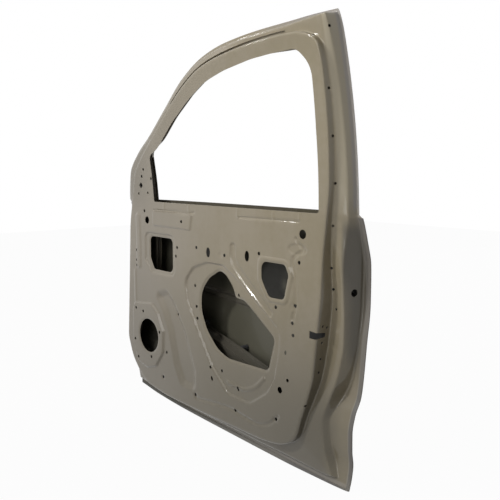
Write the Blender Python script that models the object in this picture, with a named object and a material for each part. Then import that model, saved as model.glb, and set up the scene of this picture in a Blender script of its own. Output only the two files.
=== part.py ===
"""Front right-hand door shell of a pickup, a bare weldment of thin steel pressings.

Model axes: x runs rearward from the hinge face, y outboard from the trim plane, z up from the belt.
Every piece hangs under one empty, which puts the world origin on the upper hinge pad.
"""

import math
from typing import NamedTuple

import bmesh
import bpy
import numpy as np
from mathutils import Matrix, Vector
from mathutils.geometry import delaunay_2d_cdt

# Overall sizes
REAR_EDGE = 1.020        # rear edge of the skin, from the hinge face
SILL = -0.734            # lower edge of the skin at the rear, from the belt
HEADER = 0.4857          # upper edge of the window frame
FRONT_REACH = 0.046      # how far the skin stands forward of the hinge face
LEAN_RADIUS = 1.7        # the window frame curves inboard on this radius

# Sheet and fits
SHEET = 0.0008
PLATE = 0.0020           # hinge, latch and mirror reinforcements
FIT = 0.0003             # gap between touching pieces
HEM_FOLD = 0.0030        # thickness of the finished hem
HEM_RETURN = 0.0090      # how far the hem returns over the inner flange
FILLET = 0.0050          # press radius of the shut-face walls

# Hinge and latch faces
HINGE_Z = -0.150         # upper hinge centre
HINGE_SPACING = 0.300    # upper hinge to lower hinge
HINGE_Y = 0.030          # hinge centre outboard of the trim plane
HINGE_LEAN = 0.070       # forward lean of the hinge face per metre of drop
HINGE_BOLT_PITCH = 0.044
HINGE_BOLT_RADIUS = 0.0050
CHECK_RISE = 0.005       # check strap above the middle between the hinges
CHECK_BOLT_PITCH = 0.056
CHECK_SLOT = (0.026, 0.014)  # along and across the check strap
LATCH_Z = -0.325
LATCH_DRAFT = 0.116      # lean of the latch face per metre of rise
LATCH_PLATE = (0.132, 0.022, 0.0015)  # height, leg and thickness
LATCH_BOLT_RADIUS = 0.0035
SHUT_HOLE_RADIUS = 0.0035

# Openings of the inner panel
SPEAKER_CENTRE = (0.1235, -0.4826)
SPEAKER_RADIUS = 0.0594
ROUND_HOLE_RADIUS = 0.0125
CLIP_HOLE_RADIUS = 0.0045
OVAL_SIZE = (0.019, 0.031)
BELT_INNER = -0.013      # upper edge of the inner panel at the belt
SKIN_TOP = -0.020        # where the skin's hem ends at the belt
FRAME_FOOT = -0.009      # where the outer window frame starts

# Glass run
RUN_WIDTH = 0.016        # across the glass
RUN_DEPTH = 0.014        # along the glass
RUN_SHEET = 0.0010

# Inner structure
BEAM_WIDTH = 0.062
BEAM_DEPTH = 0.024
BEAM_SHEET = 0.0014
STIFFENER_WIDTH = 0.034
STIFFENER_DEPTH = 0.010
PAD_RADIUS = 0.014
NUT_ACROSS_FLATS = 0.014
NUT_HEIGHT = 0.007

# Mesh finenesses
RIM_SPACING = 0.045
RIM_TURN = 22.0
HOLE_SPACING = 0.030
HOLE_TURN = 30.0
GRID_PITCH = 0.070

E_COAT = (0.235, 0.215, 0.170, 1.0)
E_COAT_DARK = (0.060, 0.055, 0.045, 1.0)
ZINC = (0.45, 0.43, 0.36, 1.0)
MASTIC = (0.030, 0.030, 0.032, 1.0)


class Rim(NamedTuple):
    """One place on the panel's rim, from the trim-plane edge out to the hem edge."""

    trim: tuple           # x, z of the trim-plane edge
    edge: tuple           # x, z of the outer edge
    flange: float         # outer edge back to the end of the land
    draft: float          # how far the first wall slopes outward
    land_in: float        # depth of the land at the first wall
    land_out: float       # depth of the land at the second wall
    rim: float            # depth of the outer edge on the window frame


def rear(distance):
    """Return x at a distance forward of the rear edge."""
    return REAR_EDGE - distance


def sill(height):
    """Return z at a height above the sill."""
    return SILL + height


def top(drop):
    """Return z at a drop below the header."""
    return HEADER - drop


def hinge_x(z):
    """Return x of the hinge face, which leans forward towards the sill."""
    return HINGE_LEAN*(z - HINGE_Z)


def hinge_trim(z):
    """Return the trim-plane edge beside the hinge face."""
    return (hinge_x(z) + FILLET, z)


def latch_trim(z):
    """Return the trim-plane edge beside the latch face, a straight line."""
    return (rear(0.079) + LATCH_DRAFT*(z + 0.235), z)


HINGE_TOP = HINGE_Z + 0.050
LOWER_HINGE_Z = HINGE_Z - HINGE_SPACING
HINGE_FOOT = LOWER_HINGE_Z - 0.050
CHECK_Z = (HINGE_Z + LOWER_HINGE_Z)/2.0 + CHECK_RISE
CORNER_Z = sill(0.115)


def below_hinge(share):
    """Return a height between the foot of the hinge face and the lower front corner."""
    return HINGE_FOOT + share*(CORNER_Z - HINGE_FOOT)


RIMS = (
    # Lower edge, front to rear
    Rim((0.045, CORNER_Z), (-0.012, sill(0.036)), 0.034, 0.006, 0.026, 0.028, 0.07),
    Rim((0.100, sill(0.079)), (0.095, sill(0.021)), 0.032, 0.005, 0.027, 0.029, 0.07),
    Rim((0.250, sill(0.060)), (0.250, sill(0.009)), 0.030, 0.005, 0.028, 0.030, 0.07),
    Rim((0.450, sill(0.058)), (0.450, sill(0.001)), 0.030, 0.005, 0.028, 0.031, 0.07),
    Rim((rear(0.320), sill(0.058)), (rear(0.320), sill(-0.005)), 0.030, 0.005, 0.028, 0.031, 0.07),
    Rim((rear(0.245), sill(0.064)), (rear(0.220), sill(-0.006)), 0.032, 0.006, 0.028, 0.031, 0.07),
    Rim((rear(0.200), sill(0.078)), (rear(0.110), sill(-0.005)), 0.040, 0.008, 0.026, 0.030, 0.07),
    Rim((rear(0.178), sill(0.092)), (rear(0.000), sill(0.000)), 0.060, 0.009, 0.024, 0.029, 0.07),
    # Rear edge, going up
    Rim((rear(0.163), sill(0.110)), (rear(0.000), sill(0.060)), 0.080, 0.009, 0.023, 0.028, 0.07),
    Rim((rear(0.144), sill(0.164)), (rear(0.000), sill(0.159)), 0.090, 0.009, 0.025, 0.030, 0.07),
    Rim((rear(0.122), sill(0.224)), (rear(0.000), sill(0.229)), 0.070, 0.009, 0.032, 0.034, 0.07),
    Rim(latch_trim(-0.450), (rear(0.000), -0.450), 0.050, 0.006, 0.040, 0.040, 0.07),
    Rim(latch_trim(-0.400), (rear(0.000), -0.400), 0.042, 0.006, 0.046, 0.046, 0.07),
    Rim(latch_trim(-0.350), (rear(0.000), -0.350), 0.037, 0.006, 0.050, 0.050, 0.07),
    Rim(latch_trim(-0.290), (rear(0.000), -0.290), 0.036, 0.006, 0.050, 0.050, 0.07),
    Rim(latch_trim(-0.235), (rear(0.001), -0.235), 0.035, 0.006, 0.047, 0.047, 0.07),
    Rim((rear(0.0735), -0.130), (rear(-0.002), -0.130), 0.030, 0.009, 0.035, 0.036, 0.07),
    Rim((rear(0.0645), -0.042), (rear(-0.001), -0.040), 0.022, 0.010, 0.0255, 0.042, 0.07),
    Rim((rear(0.0625), -0.022), (rear(0.001), -0.021), 0.018, 0.010, 0.0240, 0.042, 0.07),
    Rim((rear(0.0605), -0.006), (rear(0.010), -0.009), 0.009, 0.010, 0.0228, 0.042, 0.072),
    # Window frame: rear pillar, corner, header, sail
    Rim((rear(0.054), 0.060), (rear(0.013), 0.060), 0.008, 0.010, 0.0225, 0.042, 0.072),
    Rim((rear(0.050), 0.220), (rear(0.017), 0.220), 0.008, 0.009, 0.0225, 0.041, 0.072),
    Rim((rear(0.049), top(0.130)), (rear(0.020), top(0.120)), 0.008, 0.007, 0.0220, 0.040, 0.072),
    Rim((rear(0.0505), top(0.091)), (rear(0.022), top(0.045)), 0.009, 0.008, 0.0210, 0.038, 0.072),
    Rim((rear(0.058), top(0.0757)), (rear(0.029), top(0.000)), 0.011, 0.010, 0.0200, 0.036, 0.070),
    Rim((rear(0.0845), top(0.0597)), (rear(0.070), top(0.0010)), 0.013, 0.010, 0.0200, 0.033, 0.066),
    Rim((rear(0.116), top(0.0520)), (rear(0.116), top(0.0027)), 0.016, 0.010, 0.0200, 0.031, 0.062),
    Rim((rear(0.170), top(0.0511)), (rear(0.173), top(0.0055)), 0.018, 0.010, 0.0200, 0.030, 0.060),
    Rim((rear(0.287), top(0.0557)), (rear(0.302), top(0.0110)), 0.018, 0.010, 0.0200, 0.029, 0.056),
    Rim((rear(0.420), top(0.0700)), (rear(0.445), top(0.0250)), 0.018, 0.010, 0.0190, 0.027, 0.050),
    Rim((rear(0.521), top(0.0907)), (rear(0.556), top(0.0505)), 0.017, 0.010, 0.0180, 0.025, 0.045),
    Rim((rear(0.639), top(0.1427)), (rear(0.676), top(0.1040)), 0.016, 0.010, 0.0170, 0.023, 0.041),
    Rim((0.2615, top(0.2217)), (0.225, top(0.1880)), 0.015, 0.010, 0.0160, 0.021, 0.036),
    Rim((0.151, top(0.3037)), (0.112, top(0.2740)), 0.014, 0.010, 0.0150, 0.019, 0.032),
    Rim((0.082, 0.122), (0.032, 0.155), 0.014, 0.010, 0.0145, 0.018, 0.030),
    Rim((0.048, 0.080), (-0.022, 0.100), 0.015, 0.010, 0.0150, 0.018, 0.030),
    Rim((0.034, 0.030), (-0.040, 0.040), 0.017, 0.010, 0.0180, 0.021, 0.031),
    # Hinge face, going down
    Rim((0.024, -0.020), (-FRONT_REACH, -0.012), 0.020, 0.008, 0.0240, 0.026, 0.034),
    Rim(hinge_trim(HINGE_TOP), (-FRONT_REACH, -0.090), 0.024, 0.005, 0.0480, 0.050, 0.07),
    Rim(hinge_trim(HINGE_Z), (-FRONT_REACH, -0.150), 0.024, 0.005, 0.0540, 0.056, 0.07),
    Rim(hinge_trim(CHECK_Z), (-FRONT_REACH, CHECK_Z), 0.024, 0.005, 0.0560, 0.058, 0.07),
    Rim(hinge_trim(LOWER_HINGE_Z + 0.050), (-FRONT_REACH, LOWER_HINGE_Z + 0.050),
        0.024, 0.005, 0.0540, 0.056, 0.07),
    Rim(hinge_trim(LOWER_HINGE_Z - 0.020), (-FRONT_REACH, LOWER_HINGE_Z - 0.022),
        0.024, 0.005, 0.0490, 0.051, 0.07),
    Rim(hinge_trim(HINGE_FOOT), (-FRONT_REACH + 0.003, HINGE_FOOT - 0.006),
        0.024, 0.005, 0.0430, 0.045, 0.07),
    Rim((-0.005, below_hinge(0.42)), (-FRONT_REACH + 0.012, below_hinge(0.42) - 0.030),
        0.026, 0.005, 0.0330, 0.035, 0.07),
    Rim((0.014, below_hinge(0.72)), (-FRONT_REACH + 0.020, below_hinge(0.72) - 0.054),
        0.030, 0.006, 0.0270, 0.029, 0.07),
)

# Height and depth of the skin along the rear edge
SKIN_PROFILE = (
    (0.010, 0.068), (-0.007, 0.074), (-0.060, 0.091), (-0.140, 0.108), (-0.235, 0.114),
    (-0.350, 0.100), (-0.450, 0.089), (-0.492, 0.081), (-0.535, 0.059), (-0.580, 0.049),
    (-0.630, 0.050), (-0.668, 0.055), (-0.700, 0.051), (-0.734, 0.041), (-0.745, 0.037),
)
SKIN_ROWS = (-0.034, -0.100, -0.180, -0.260, -0.340, -0.420, -0.480, -0.505, -0.530,
             -0.560, -0.600, -0.640, -0.668, -0.690)
SKIN_CROWN = 0.012       # bulge of the skin between its front and rear edges
FRONT_TUCK = 0.034       # how far the skin's upper front edge curves inboard


def smooth(share):
    """Ease a share from 0 to 1."""
    share = np.clip(share, 0.0, 1.0)
    return share*share*(3.0 - 2.0*share)


def monotone_curve(knots, values, places):
    """Interpolate values at places through knots without overshoot."""
    knots, values, places = (np.asarray(item, float) for item in (knots, values, places))
    step = np.diff(knots)
    slope = np.diff(values)/step
    tangent = np.empty_like(values)
    tangent[0], tangent[-1] = slope[0], slope[-1]
    product = slope[:-1]*slope[1:]
    total = slope[:-1] + slope[1:]
    tangent[1:-1] = np.where(product > 0.0, 2.0*product/np.where(total == 0.0, 1.0, total), 0.0)
    cell = np.clip(np.searchsorted(knots, places) - 1, 0, len(step) - 1)
    share = (places - knots[cell])/step[cell]
    return ((1 + 2*share)*(1 - share)**2*values[cell] + share*(1 - share)**2*step[cell]*tangent[cell]
            + share**2*(3 - 2*share)*values[cell + 1]
            + share**2*(share - 1)*step[cell]*tangent[cell + 1])


def lean(z):
    """Return how far the window frame has curved inboard at height z, as a negative y."""
    return -np.maximum(z, 0.0)**2/(2.0*LEAN_RADIUS)


def skin_y(x, z):
    """Return y of the skin's outer face."""
    heights = [key[0] for key in SKIN_PROFILE][::-1]
    depths = [key[1] for key in SKIN_PROFILE][::-1]
    depth = monotone_curve(heights, depths, z)
    middle = (REAR_EDGE - FRONT_REACH)/2.0
    half = (REAR_EDGE + FRONT_REACH)/2.0
    crown = SKIN_CROWN*(1.0 - ((x - middle)/half)**2)
    tuck = FRONT_TUCK*np.clip((0.40 - x)/0.45, 0.0, 1.0)**2*smooth((z - SILL)/0.60)
    return depth + crown - tuck


def corner_arc(before, corner, after, radius, turn):
    """Round one corner of an outline with an arc tangent to both its sides."""
    before, corner, after = (np.asarray(point, float) for point in (before, corner, after))
    toward, away = before - corner, after - corner
    length_in, length_out = np.linalg.norm(toward), np.linalg.norm(away)
    toward, away = toward/length_in, away/length_out
    angle = math.acos(float(np.clip(np.dot(toward, away), -1.0, 1.0)))
    setback = min(radius/math.tan(angle/2.0), 0.48*length_in, 0.48*length_out)
    radius = setback*math.tan(angle/2.0)
    bisector = (toward + away)/np.linalg.norm(toward + away)
    centre = corner + bisector*radius/math.sin(angle/2.0)
    start, end = corner + toward*setback - centre, corner + away*setback - centre
    first, last = math.atan2(start[1], start[0]), math.atan2(end[1], end[0])
    sweep = (last - first + math.pi) % (2.0*math.pi) - math.pi
    count = max(1, round(abs(math.degrees(sweep))/turn))
    angles = [first + sweep*step/count for step in range(count + 1)]
    return [centre + radius*np.array([math.cos(a), math.sin(a)]) for a in angles]


def rounded_outline(corners, radius, spacing=HOLE_SPACING, turn=HOLE_TURN):
    """Return a closed outline through corners, each with its arc, sides split at the spacing."""
    count = len(corners)
    radii = radius if isinstance(radius, (list, tuple)) else [radius]*count
    arcs = [corner_arc(corners[i - 1], corners[i], corners[(i + 1) % count], radii[i], turn)
            for i in range(count)]
    outline = []
    for index, arc in enumerate(arcs):
        outline.extend(arc)
        start, end = arc[-1], arcs[(index + 1) % count][0]
        pieces = max(1, round(np.linalg.norm(end - start)/spacing))
        outline.extend(start + (end - start)*step/pieces for step in range(1, pieces))
    return merge_close(np.array(outline))


def merge_close(outline, distance=0.0006):
    """Drop points that lie on the point before them."""
    keep = [index for index in range(len(outline))
            if np.linalg.norm(outline[index] - outline[index - 1]) > distance]
    return outline[keep]


def round_outline(centre, radius, count=8):
    """Return a circle's points."""
    angles = (np.arange(count) + 0.5)*2.0*math.pi/count
    return np.stack([centre[0] + radius*np.cos(angles), centre[1] + radius*np.sin(angles)], -1)


def oval_outline(centre, size, count=12):
    """Return an oval's points."""
    angles = np.arange(count)*2.0*math.pi/count
    return np.stack([centre[0] + size[0]/2.0*np.cos(angles),
                     centre[1] + size[1]/2.0*np.sin(angles)], -1)


def inside(points, outline):
    """Tell which points lie inside a closed outline."""
    x, z = points[:, 0][:, None], points[:, 1][:, None]
    ax, az = outline[:, 0][None], outline[:, 1][None]
    bx, bz = np.roll(outline[:, 0], -1)[None], np.roll(outline[:, 1], -1)[None]
    rise = np.where(bz == az, 1e-12, bz - az)
    crosses = ((az > z) != (bz > z)) & (x < (bx - ax)*(z - az)/rise + ax)
    return crosses.sum(1) % 2 == 1


def distance_to(points, line, closed):
    """Return each point's distance to a polyline."""
    line = np.asarray(line, float)
    start = line if closed else line[:-1]
    end = np.roll(line, -1, 0) if closed else line[1:]
    along = end - start
    offset = points[:, None] - start[None]
    share = np.clip((offset*along).sum(-1)/np.maximum((along**2).sum(-1), 1e-12), 0.0, 1.0)
    return np.linalg.norm(offset - share[..., None]*along, axis=-1).min(1)


def offset_line(line, distance):
    """Return an open polyline moved sideways."""
    line = np.asarray(line, float)
    along = np.gradient(line, axis=0)
    along /= np.linalg.norm(along, axis=1)[:, None]
    return line + distance*np.stack([-along[:, 1], along[:, 0]], -1)


# Pressed features of the trim plane. A positive height is sunk outboard, a negative one raised.
class Plateau(NamedTuple):
    """A raised or sunk field with a sloping border."""

    outline: np.ndarray
    height: float
    ramp: float

    def shape(self, points):
        """Return the field's height at points."""
        depth = distance_to(points, self.outline, True)
        depth = np.where(inside(points, self.outline), depth, 0.0)
        return self.height*smooth(depth/self.ramp)

    def guides(self):
        """Return the closed lines along which the field's border bends."""
        centre = self.outline.mean(0)
        reach = np.linalg.norm(self.outline - centre, axis=1)
        return [(self.outline, True),
                (centre + (self.outline - centre)*(1.0 - self.ramp/reach)[:, None], True)]


class Bead(NamedTuple):
    """A rib or groove along a curved line."""

    line: np.ndarray
    width: float
    height: float
    ramp: float

    def shape(self, points):
        """Return the bead's height at points."""
        depth = self.width/2.0 - distance_to(points, self.line, False)
        return self.height*smooth(depth/self.ramp)

    def guides(self):
        """Return the closed lines along which the bead bends."""
        half = self.width/2.0
        return [(around(self.line, half), True), (around(self.line, half - self.ramp), True)]


def around(line, distance):
    """Return the closed outline that lies at a distance round an open line."""
    start, end = line[0] - line[1], line[-1] - line[-2]
    caps = []
    for centre, along in ((line[-1], end), (line[0], start)):
        heading = math.atan2(along[1], along[0])
        caps.append([centre + distance*np.array([math.cos(heading + turn), math.sin(heading + turn)])
                     for turn in (-math.pi/4.0, math.pi/4.0)])
    return np.vstack([offset_line(line, -distance), caps[0],
                      offset_line(line, distance)[::-1], caps[1]])


def curve_through(points, spacing):
    """Return a smooth open line through points."""
    points = np.asarray(points, float)
    knots = np.concatenate([[0.0], np.cumsum(np.linalg.norm(np.diff(points, axis=0), axis=1))])
    count = max(2, round(knots[-1]/spacing))
    places = np.linspace(0.0, knots[-1], count + 1)
    padded = np.vstack([2.0*points[0] - points[1], points, 2.0*points[-1] - points[-2]])
    tangents = (padded[2:] - padded[:-2])/2.0
    cell = np.clip(np.searchsorted(knots, places, side="right") - 1, 0, len(points) - 2)
    length = np.diff(knots)[cell][:, None]
    share = ((places - knots[cell])/length[:, 0])[:, None]
    steps = np.linalg.norm(np.diff(points, axis=0), axis=1)
    mean = np.concatenate([steps[:1], (steps[:-1] + steps[1:])/2.0, steps[-1:]])[:, None]
    slope = tangents/mean
    return ((1 + 2*share)*(1 - share)**2*points[cell] + share*(1 - share)**2*length*slope[cell]
            + share**2*(3 - 2*share)*points[cell + 1] + share**2*(share - 1)*length*slope[cell + 1])


BEAD_SPACING = 0.042


ACCESS_HOLE = rounded_outline(
    ((0.522, -0.204), (0.558, -0.222), (0.584, -0.250), (0.590, -0.280), (0.636, -0.281),
     (0.678, -0.304), (rear(0.2535), -0.372), (rear(0.2815), -0.470), (0.556, -0.474),
     (0.503, -0.455), (0.450, -0.405), (0.421, -0.345), (0.423, -0.283), (0.464, -0.226)),
    (0.040, 0.050, 0.030, 0.012, 0.020, 0.030, 0.022, 0.018, 0.080, 0.080, 0.090, 0.090, 0.070,
     0.070))
FRONT_HOLE = rounded_outline(
    ((0.131, -0.129), (0.266, -0.129), (0.266, -0.243), (0.153, -0.243), (0.130, -0.205)),
    (0.018, 0.018, 0.020, 0.016, 0.020))
REAR_HOLE = rounded_outline(
    ((rear(0.301), -0.154), (rear(0.205), -0.154), (rear(0.191), -0.182), (rear(0.209), -0.252),
     (rear(0.269), -0.253), (rear(0.301), -0.205)), (0.022, 0.016, 0.022, 0.014, 0.020, 0.026))
SPEAKER_HOLE = round_outline(SPEAKER_CENTRE, SPEAKER_RADIUS, 24)
WINDOW = rounded_outline(
    ((0.167, BELT_INNER), (0.1515, 0.146), (0.200, top(0.320)), (0.308, top(0.2362)),
     (rear(0.6035), top(0.1719)), (rear(0.5095), top(0.1297)), (rear(0.418), top(0.1084)),
     (rear(0.2975), top(0.0920)), (rear(0.220), top(0.0878)), (rear(0.122), top(0.0857)),
     (rear(0.0800), top(0.1300)), (rear(0.084), 0.200), (rear(0.083), BELT_INNER)),
    (0.003, 0.010, 0.200, 0.400, 0.400, 0.300, 0.400, 0.500, 0.500, 0.045, 0.090, 0.500, 0.003),
    spacing=0.050, turn=14.0)
OVALS = ((0.470, -0.154), (rear(0.3645), -0.147))
ROUND_HOLES = ((rear(0.139), -0.0665), (0.1207, -0.0741))
CLIP_HOLES = (
    (0.3325, -0.0665), (0.1045, -0.0430), (0.0475, -0.1855), (0.0475, -0.2214), (0.3020, -0.1540),
    (0.2945, -0.1834), (0.4085, -0.1440), (0.5510, -0.1550), (rear(0.312), -0.1340),
    (rear(0.151), -0.1425), (0.3924, -0.2690), (0.3990, -0.3363), (0.4028, -0.3743),
    (0.2880, -0.3810), (rear(0.241), -0.2770), (rear(0.167), -0.2622), (rear(0.175), -0.3106),
    (rear(0.1925), -0.4750), (rear(0.241), sill(0.1326)), (0.5985, sill(0.1089)),
    (0.3943, sill(0.1042)), (0.2062, sill(0.1184)), (0.1425, -0.5558), (0.2309, -0.5225),
    (0.0361, -0.5102), (0.1967, -0.4579), (0.0931, -0.4000), (0.0456, -0.3943), (0.4779, -0.5178),
    (0.6109, -0.2690), (0.0931, 0.0760), (0.0855, 0.0456), (0.1520, 0.0694),
)
MIRROR_BOLTS = ((0.0700, 0.0160), (0.1290, 0.0200), (0.1060, 0.1000))
MIRROR_BOLT_RADIUS = 0.0045

LEDGE_LINE = (
    (0.934, -0.032), (0.908, -0.056), (0.905, -0.100), (0.856, -0.128), (0.858, -0.200),
    (0.868, -0.270), (0.842, -0.345), (0.838, -0.420), (0.800, -0.560), (0.745, -0.628),
    (0.600, -0.630), (0.400, -0.645),
)

PANEL_FEATURES = (
    Plateau(rounded_outline(((0.157, -0.035), (0.385, -0.035), (0.380, -0.094), (0.157, -0.092)),
                            0.012, spacing=0.080), -0.0032, 0.006),
    Bead(curve_through(((0.062, -0.064), (0.064, -0.150), (0.062, -0.236)), 0.080), 0.034, -0.0026,
         0.010),
    Plateau(rounded_outline(((0.104, -0.120), (0.276, -0.120), (0.276, -0.252), (0.146, -0.252),
                             (0.102, -0.214)), 0.022, spacing=0.080), 0.0034, 0.006),
    Plateau(rounded_outline(((0.040, -0.372), (0.142, -0.362), (0.200, -0.400), (0.220, -0.470),
                             (0.200, -0.556), (0.130, -0.604), (0.045, -0.592), (0.028, -0.480)),
                            0.040, spacing=0.080), -0.0045, 0.009),
    Plateau(rounded_outline(((0.172, -0.318), (0.236, -0.300), (0.300, -0.358), (0.350, -0.430),
                             (0.396, -0.552), (0.370, -0.620), (0.300, -0.605), (0.264, -0.500),
                             (0.236, -0.420)), 0.030, spacing=0.090), 0.0080, 0.024),
    Plateau(rounded_outline(((0.530, -0.180), (0.640, -0.236), (0.740, -0.304), (0.794, -0.340),
                             (0.788, -0.430), (0.745, -0.535), (0.664, -0.590), (0.560, -0.580),
                             (0.460, -0.485), (0.400, -0.405), (0.345, -0.320), (0.345, -0.240),
                             (0.440, -0.192)), 0.060, spacing=0.100), 0.0045, 0.012),
    Bead(curve_through(((0.585, -0.150), (0.622, -0.206), (0.680, -0.252), (0.742, -0.298)), 0.060),
         0.044, 0.0046, 0.010),
    Plateau(rounded_outline((LEDGE_LINE + ((0.40, -0.80), (1.10, -0.80), (1.10, 0.02), (0.94, 0.02))),
                            0.020, spacing=0.080), -0.0028, 0.008),
)


def emboss(points):
    """Return how far the trim plane is pressed outboard at each x, z point."""
    return sum(feature.shape(points) for feature in PANEL_FEATURES)


def rim_stations(spacing=RIM_SPACING, turn=RIM_TURN):
    """Return the rim's sections round the whole door, closer together where it turns."""
    keys = np.array([[*rim.trim, *rim.edge, *rim[2:]] for rim in RIMS])
    keys = np.vstack([keys, keys[:1]])
    step = np.linalg.norm(np.diff(keys[:, :4], axis=0), axis=1)
    knots = np.concatenate([[0.0], np.cumsum(step)])
    dense = np.linspace(0.0, knots[-1], 1600)
    fields = np.stack([monotone_curve(knots, keys[:, column], dense)
                       for column in range(keys.shape[1])], -1)
    weight = station_weight(fields[:, :2], spacing, turn) + station_weight(fields[:, 2:4], spacing, turn)
    total = np.concatenate([[0.0], np.cumsum(weight)])
    count = int(round(total[-1]/2.0))
    picked = np.interp(np.arange(count)*total[-1]/count, total, np.arange(len(total)))
    for height in (SKIN_TOP, FRAME_FOOT):
        for place in crossings(fields[:, 3], height):
            picked[np.abs(picked - place).argmin()] = place
    picked.sort()
    return np.stack([np.interp(picked, np.arange(len(dense)), fields[:, column])
                     for column in range(fields.shape[1])], -1)


def crossings(heights, level):
    """Return the fractional places at which a run of heights passes a level."""
    above = heights > level
    steps = np.nonzero(above[1:] != above[:-1])[0]
    return [step + (level - heights[step])/(heights[step + 1] - heights[step]) for step in steps]


def station_weight(line, spacing, turn):
    """Weigh each step of a line by its length and its turning."""
    along = np.diff(line, axis=0)
    length = np.linalg.norm(along, axis=1)
    heading = np.unwrap(np.arctan2(along[:, 1], along[:, 0]))
    bend = np.abs(np.gradient(heading))
    return length/spacing + np.minimum(np.degrees(bend)/turn, 0.4)


def rim_section(station):
    """Return the ten points of one rim section, trim-plane edge first."""
    trim, edge = station[0:2], station[2:4]
    flange, draft, land_in, land_out, rim = station[4:9]
    along = edge - trim
    width = np.linalg.norm(along)
    along = along/width
    turn_out = width - flange
    foot = min(0.40*flange, 0.014)
    skirt = 1.0 - smooth((edge[1] - SKIN_TOP)/(FRAME_FOOT - SKIN_TOP))

    def place(out, depth):
        point = trim + along*out
        return np.array([point[0], lean(point[1]) + depth, point[1]])

    def rim_place(out, frame_lift, skin_lift):
        point = place(out, rim - frame_lift)
        skin = skin_y(point[0], min(point[2], 0.010)) - skin_lift
        point[1] = point[1]*(1.0 - skirt) + skin*skirt
        return point

    flange_lift = 2.0*SHEET + FIT
    outer_foot = rim_place(turn_out + foot, 0.002, flange_lift + 0.003)
    wall_two = outer_foot.copy()
    step = min(0.006, 0.4*(outer_foot[1] - place(turn_out, land_out)[1]))
    inward = along*0.3*foot
    wall_two -= np.array([inward[0], step, inward[1]])
    land_end = min(turn_out, max(turn_out - 0.004, draft + 0.006))
    return [
        place(0.0, 0.0),
        place(0.75*FILLET, 0.30*FILLET),
        place(FILLET, FILLET),
        place(FILLET, land_in - 0.6*FILLET),
        place(max(draft, FILLET) + 0.4*FILLET, land_in),
        place(land_end, land_out),
        place(turn_out + 0.2*foot, land_out + min(0.004, step)),
        wall_two,
        outer_foot,
        rim_place(width, 0.0, flange_lift),
    ]


def triangulate(outer, holes, guides, pitch):
    """Fill the region between outlines with triangles, bending along the guides.

    Returns the points, the triangles and the place of each outer point among the points.
    """
    points, edges, clear = [], [], []

    def add(line, closed):
        first = len(points)
        points.extend(Vector((float(p[0]), float(p[1]))) for p in line)
        count = len(line)
        last = count if closed else count - 1
        edges.extend((first + i, first + (i + 1) % count) for i in range(last))
        clear.append(np.asarray(line, float))

    add(outer, True)
    for hole in holes:
        add(hole, True)
    for line, closed in guides:
        line = np.asarray(line, float)
        keep = inside(line, outer) & (distance_to(line, outer, True) > 0.004)
        for hole in holes:
            keep &= ~inside(line, hole) & (distance_to(line, hole, True) > 0.0035)
        for run in kept_runs(line, keep, closed):
            add(run, False)
    for point in spread_grid(outer, np.vstack(clear), pitch):
        points.append(Vector(point))
    result = delaunay_2d_cdt(points, edges, [], 0, 1e-6)
    found = np.array([tuple(point) for point in result[0]])
    faces = np.array(result[2])
    centres = found[faces].mean(1)
    keep = inside(centres, outer)
    for hole in holes:
        keep &= ~inside(centres, hole)
    origin = {old: new for new, olds in enumerate(result[3]) for old in olds}
    return found, faces[keep], [origin[index] for index in range(len(outer))]


def kept_runs(line, keep, closed):
    """Split a guide into its stretches that lie clear of every outline."""
    if closed:
        line, keep = np.vstack([line, line[:1]]), np.append(keep, keep[0])
    runs, run = [], []
    for point, kept in zip(line, keep):
        if kept:
            run.append(point)
        elif run:
            runs.append(run)
            run = []
    runs.append(run)
    return [run for run in runs if len(run) > 1]


def spread_grid(outer, lines, pitch):
    """Return grid points that stay clear of every line already placed."""
    low, high = outer.min(0), outer.max(0)
    columns = np.arange(low[0], high[0], pitch)
    rows = np.arange(low[1], high[1], pitch*0.87)
    grid = np.array([(x + (pitch/2.0 if row % 2 else 0.0), z)
                     for row, z in enumerate(rows) for x in columns])
    grid = grid[inside(grid, outer)]
    gap = np.array([np.linalg.norm(lines - point, axis=1).min() for point in grid])
    return [tuple(point) for point in grid[gap > 0.42*pitch]]


# Blender objects
def clear_scene():
    """Remove every object that the file starts with."""
    for item in list(bpy.data.objects):
        bpy.data.objects.remove(item, do_unlink=True)


def finish_material(name, colour, roughness, metallic=0.0, coat=0.0):
    """Return a Principled material."""
    material = bpy.data.materials.new(name)
    material.use_nodes = True
    shader = material.node_tree.nodes["Principled BSDF"]
    shader.inputs["Base Color"].default_value = colour
    shader.inputs["Roughness"].default_value = roughness
    shader.inputs["Metallic"].default_value = metallic
    shader.inputs["Coat Weight"].default_value = coat
    material.diffuse_color = colour
    return material


def add_object(name, vertices, faces, material):
    """Make a named object from a mesh, under the door's empty."""
    mesh = bpy.data.meshes.new(name)
    mesh.from_pydata([tuple(map(float, vertex)) for vertex in vertices], [],
                     [tuple(map(int, face)) for face in faces])
    mesh.validate()
    item = bpy.data.objects.new(name, mesh)
    item.parent = bpy.data.objects["door_frame"]
    mesh.materials.append(material)
    bpy.context.scene.collection.objects.link(item)
    return item


def thicken(item, thickness, side=-1.0):
    """Give a sheet its thickness, against its face normals by default."""
    solid = item.modifiers.new("sheet", "SOLIDIFY")
    solid.thickness = thickness
    solid.offset = side
    solid.use_even_offset = True
    solid.use_quality_normals = True


def cut_with(item, cutter):
    """Cut an object with a hidden cutter."""
    cut = item.modifiers.new("cut " + cutter.name, "BOOLEAN")
    cut.operation = "DIFFERENCE"
    cut.solver = "EXACT"
    cut.object = cutter


def loft_faces(rows, columns, first=0, closed=False):
    """Return the quads of a grid of rows, each with the same number of columns."""
    last = rows if closed else rows - 1
    return [(first + i*columns + j, first + ((i + 1) % rows)*columns + j,
             first + ((i + 1) % rows)*columns + j + 1, first + i*columns + j + 1)
            for i in range(last) for j in range(columns - 1)]


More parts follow.
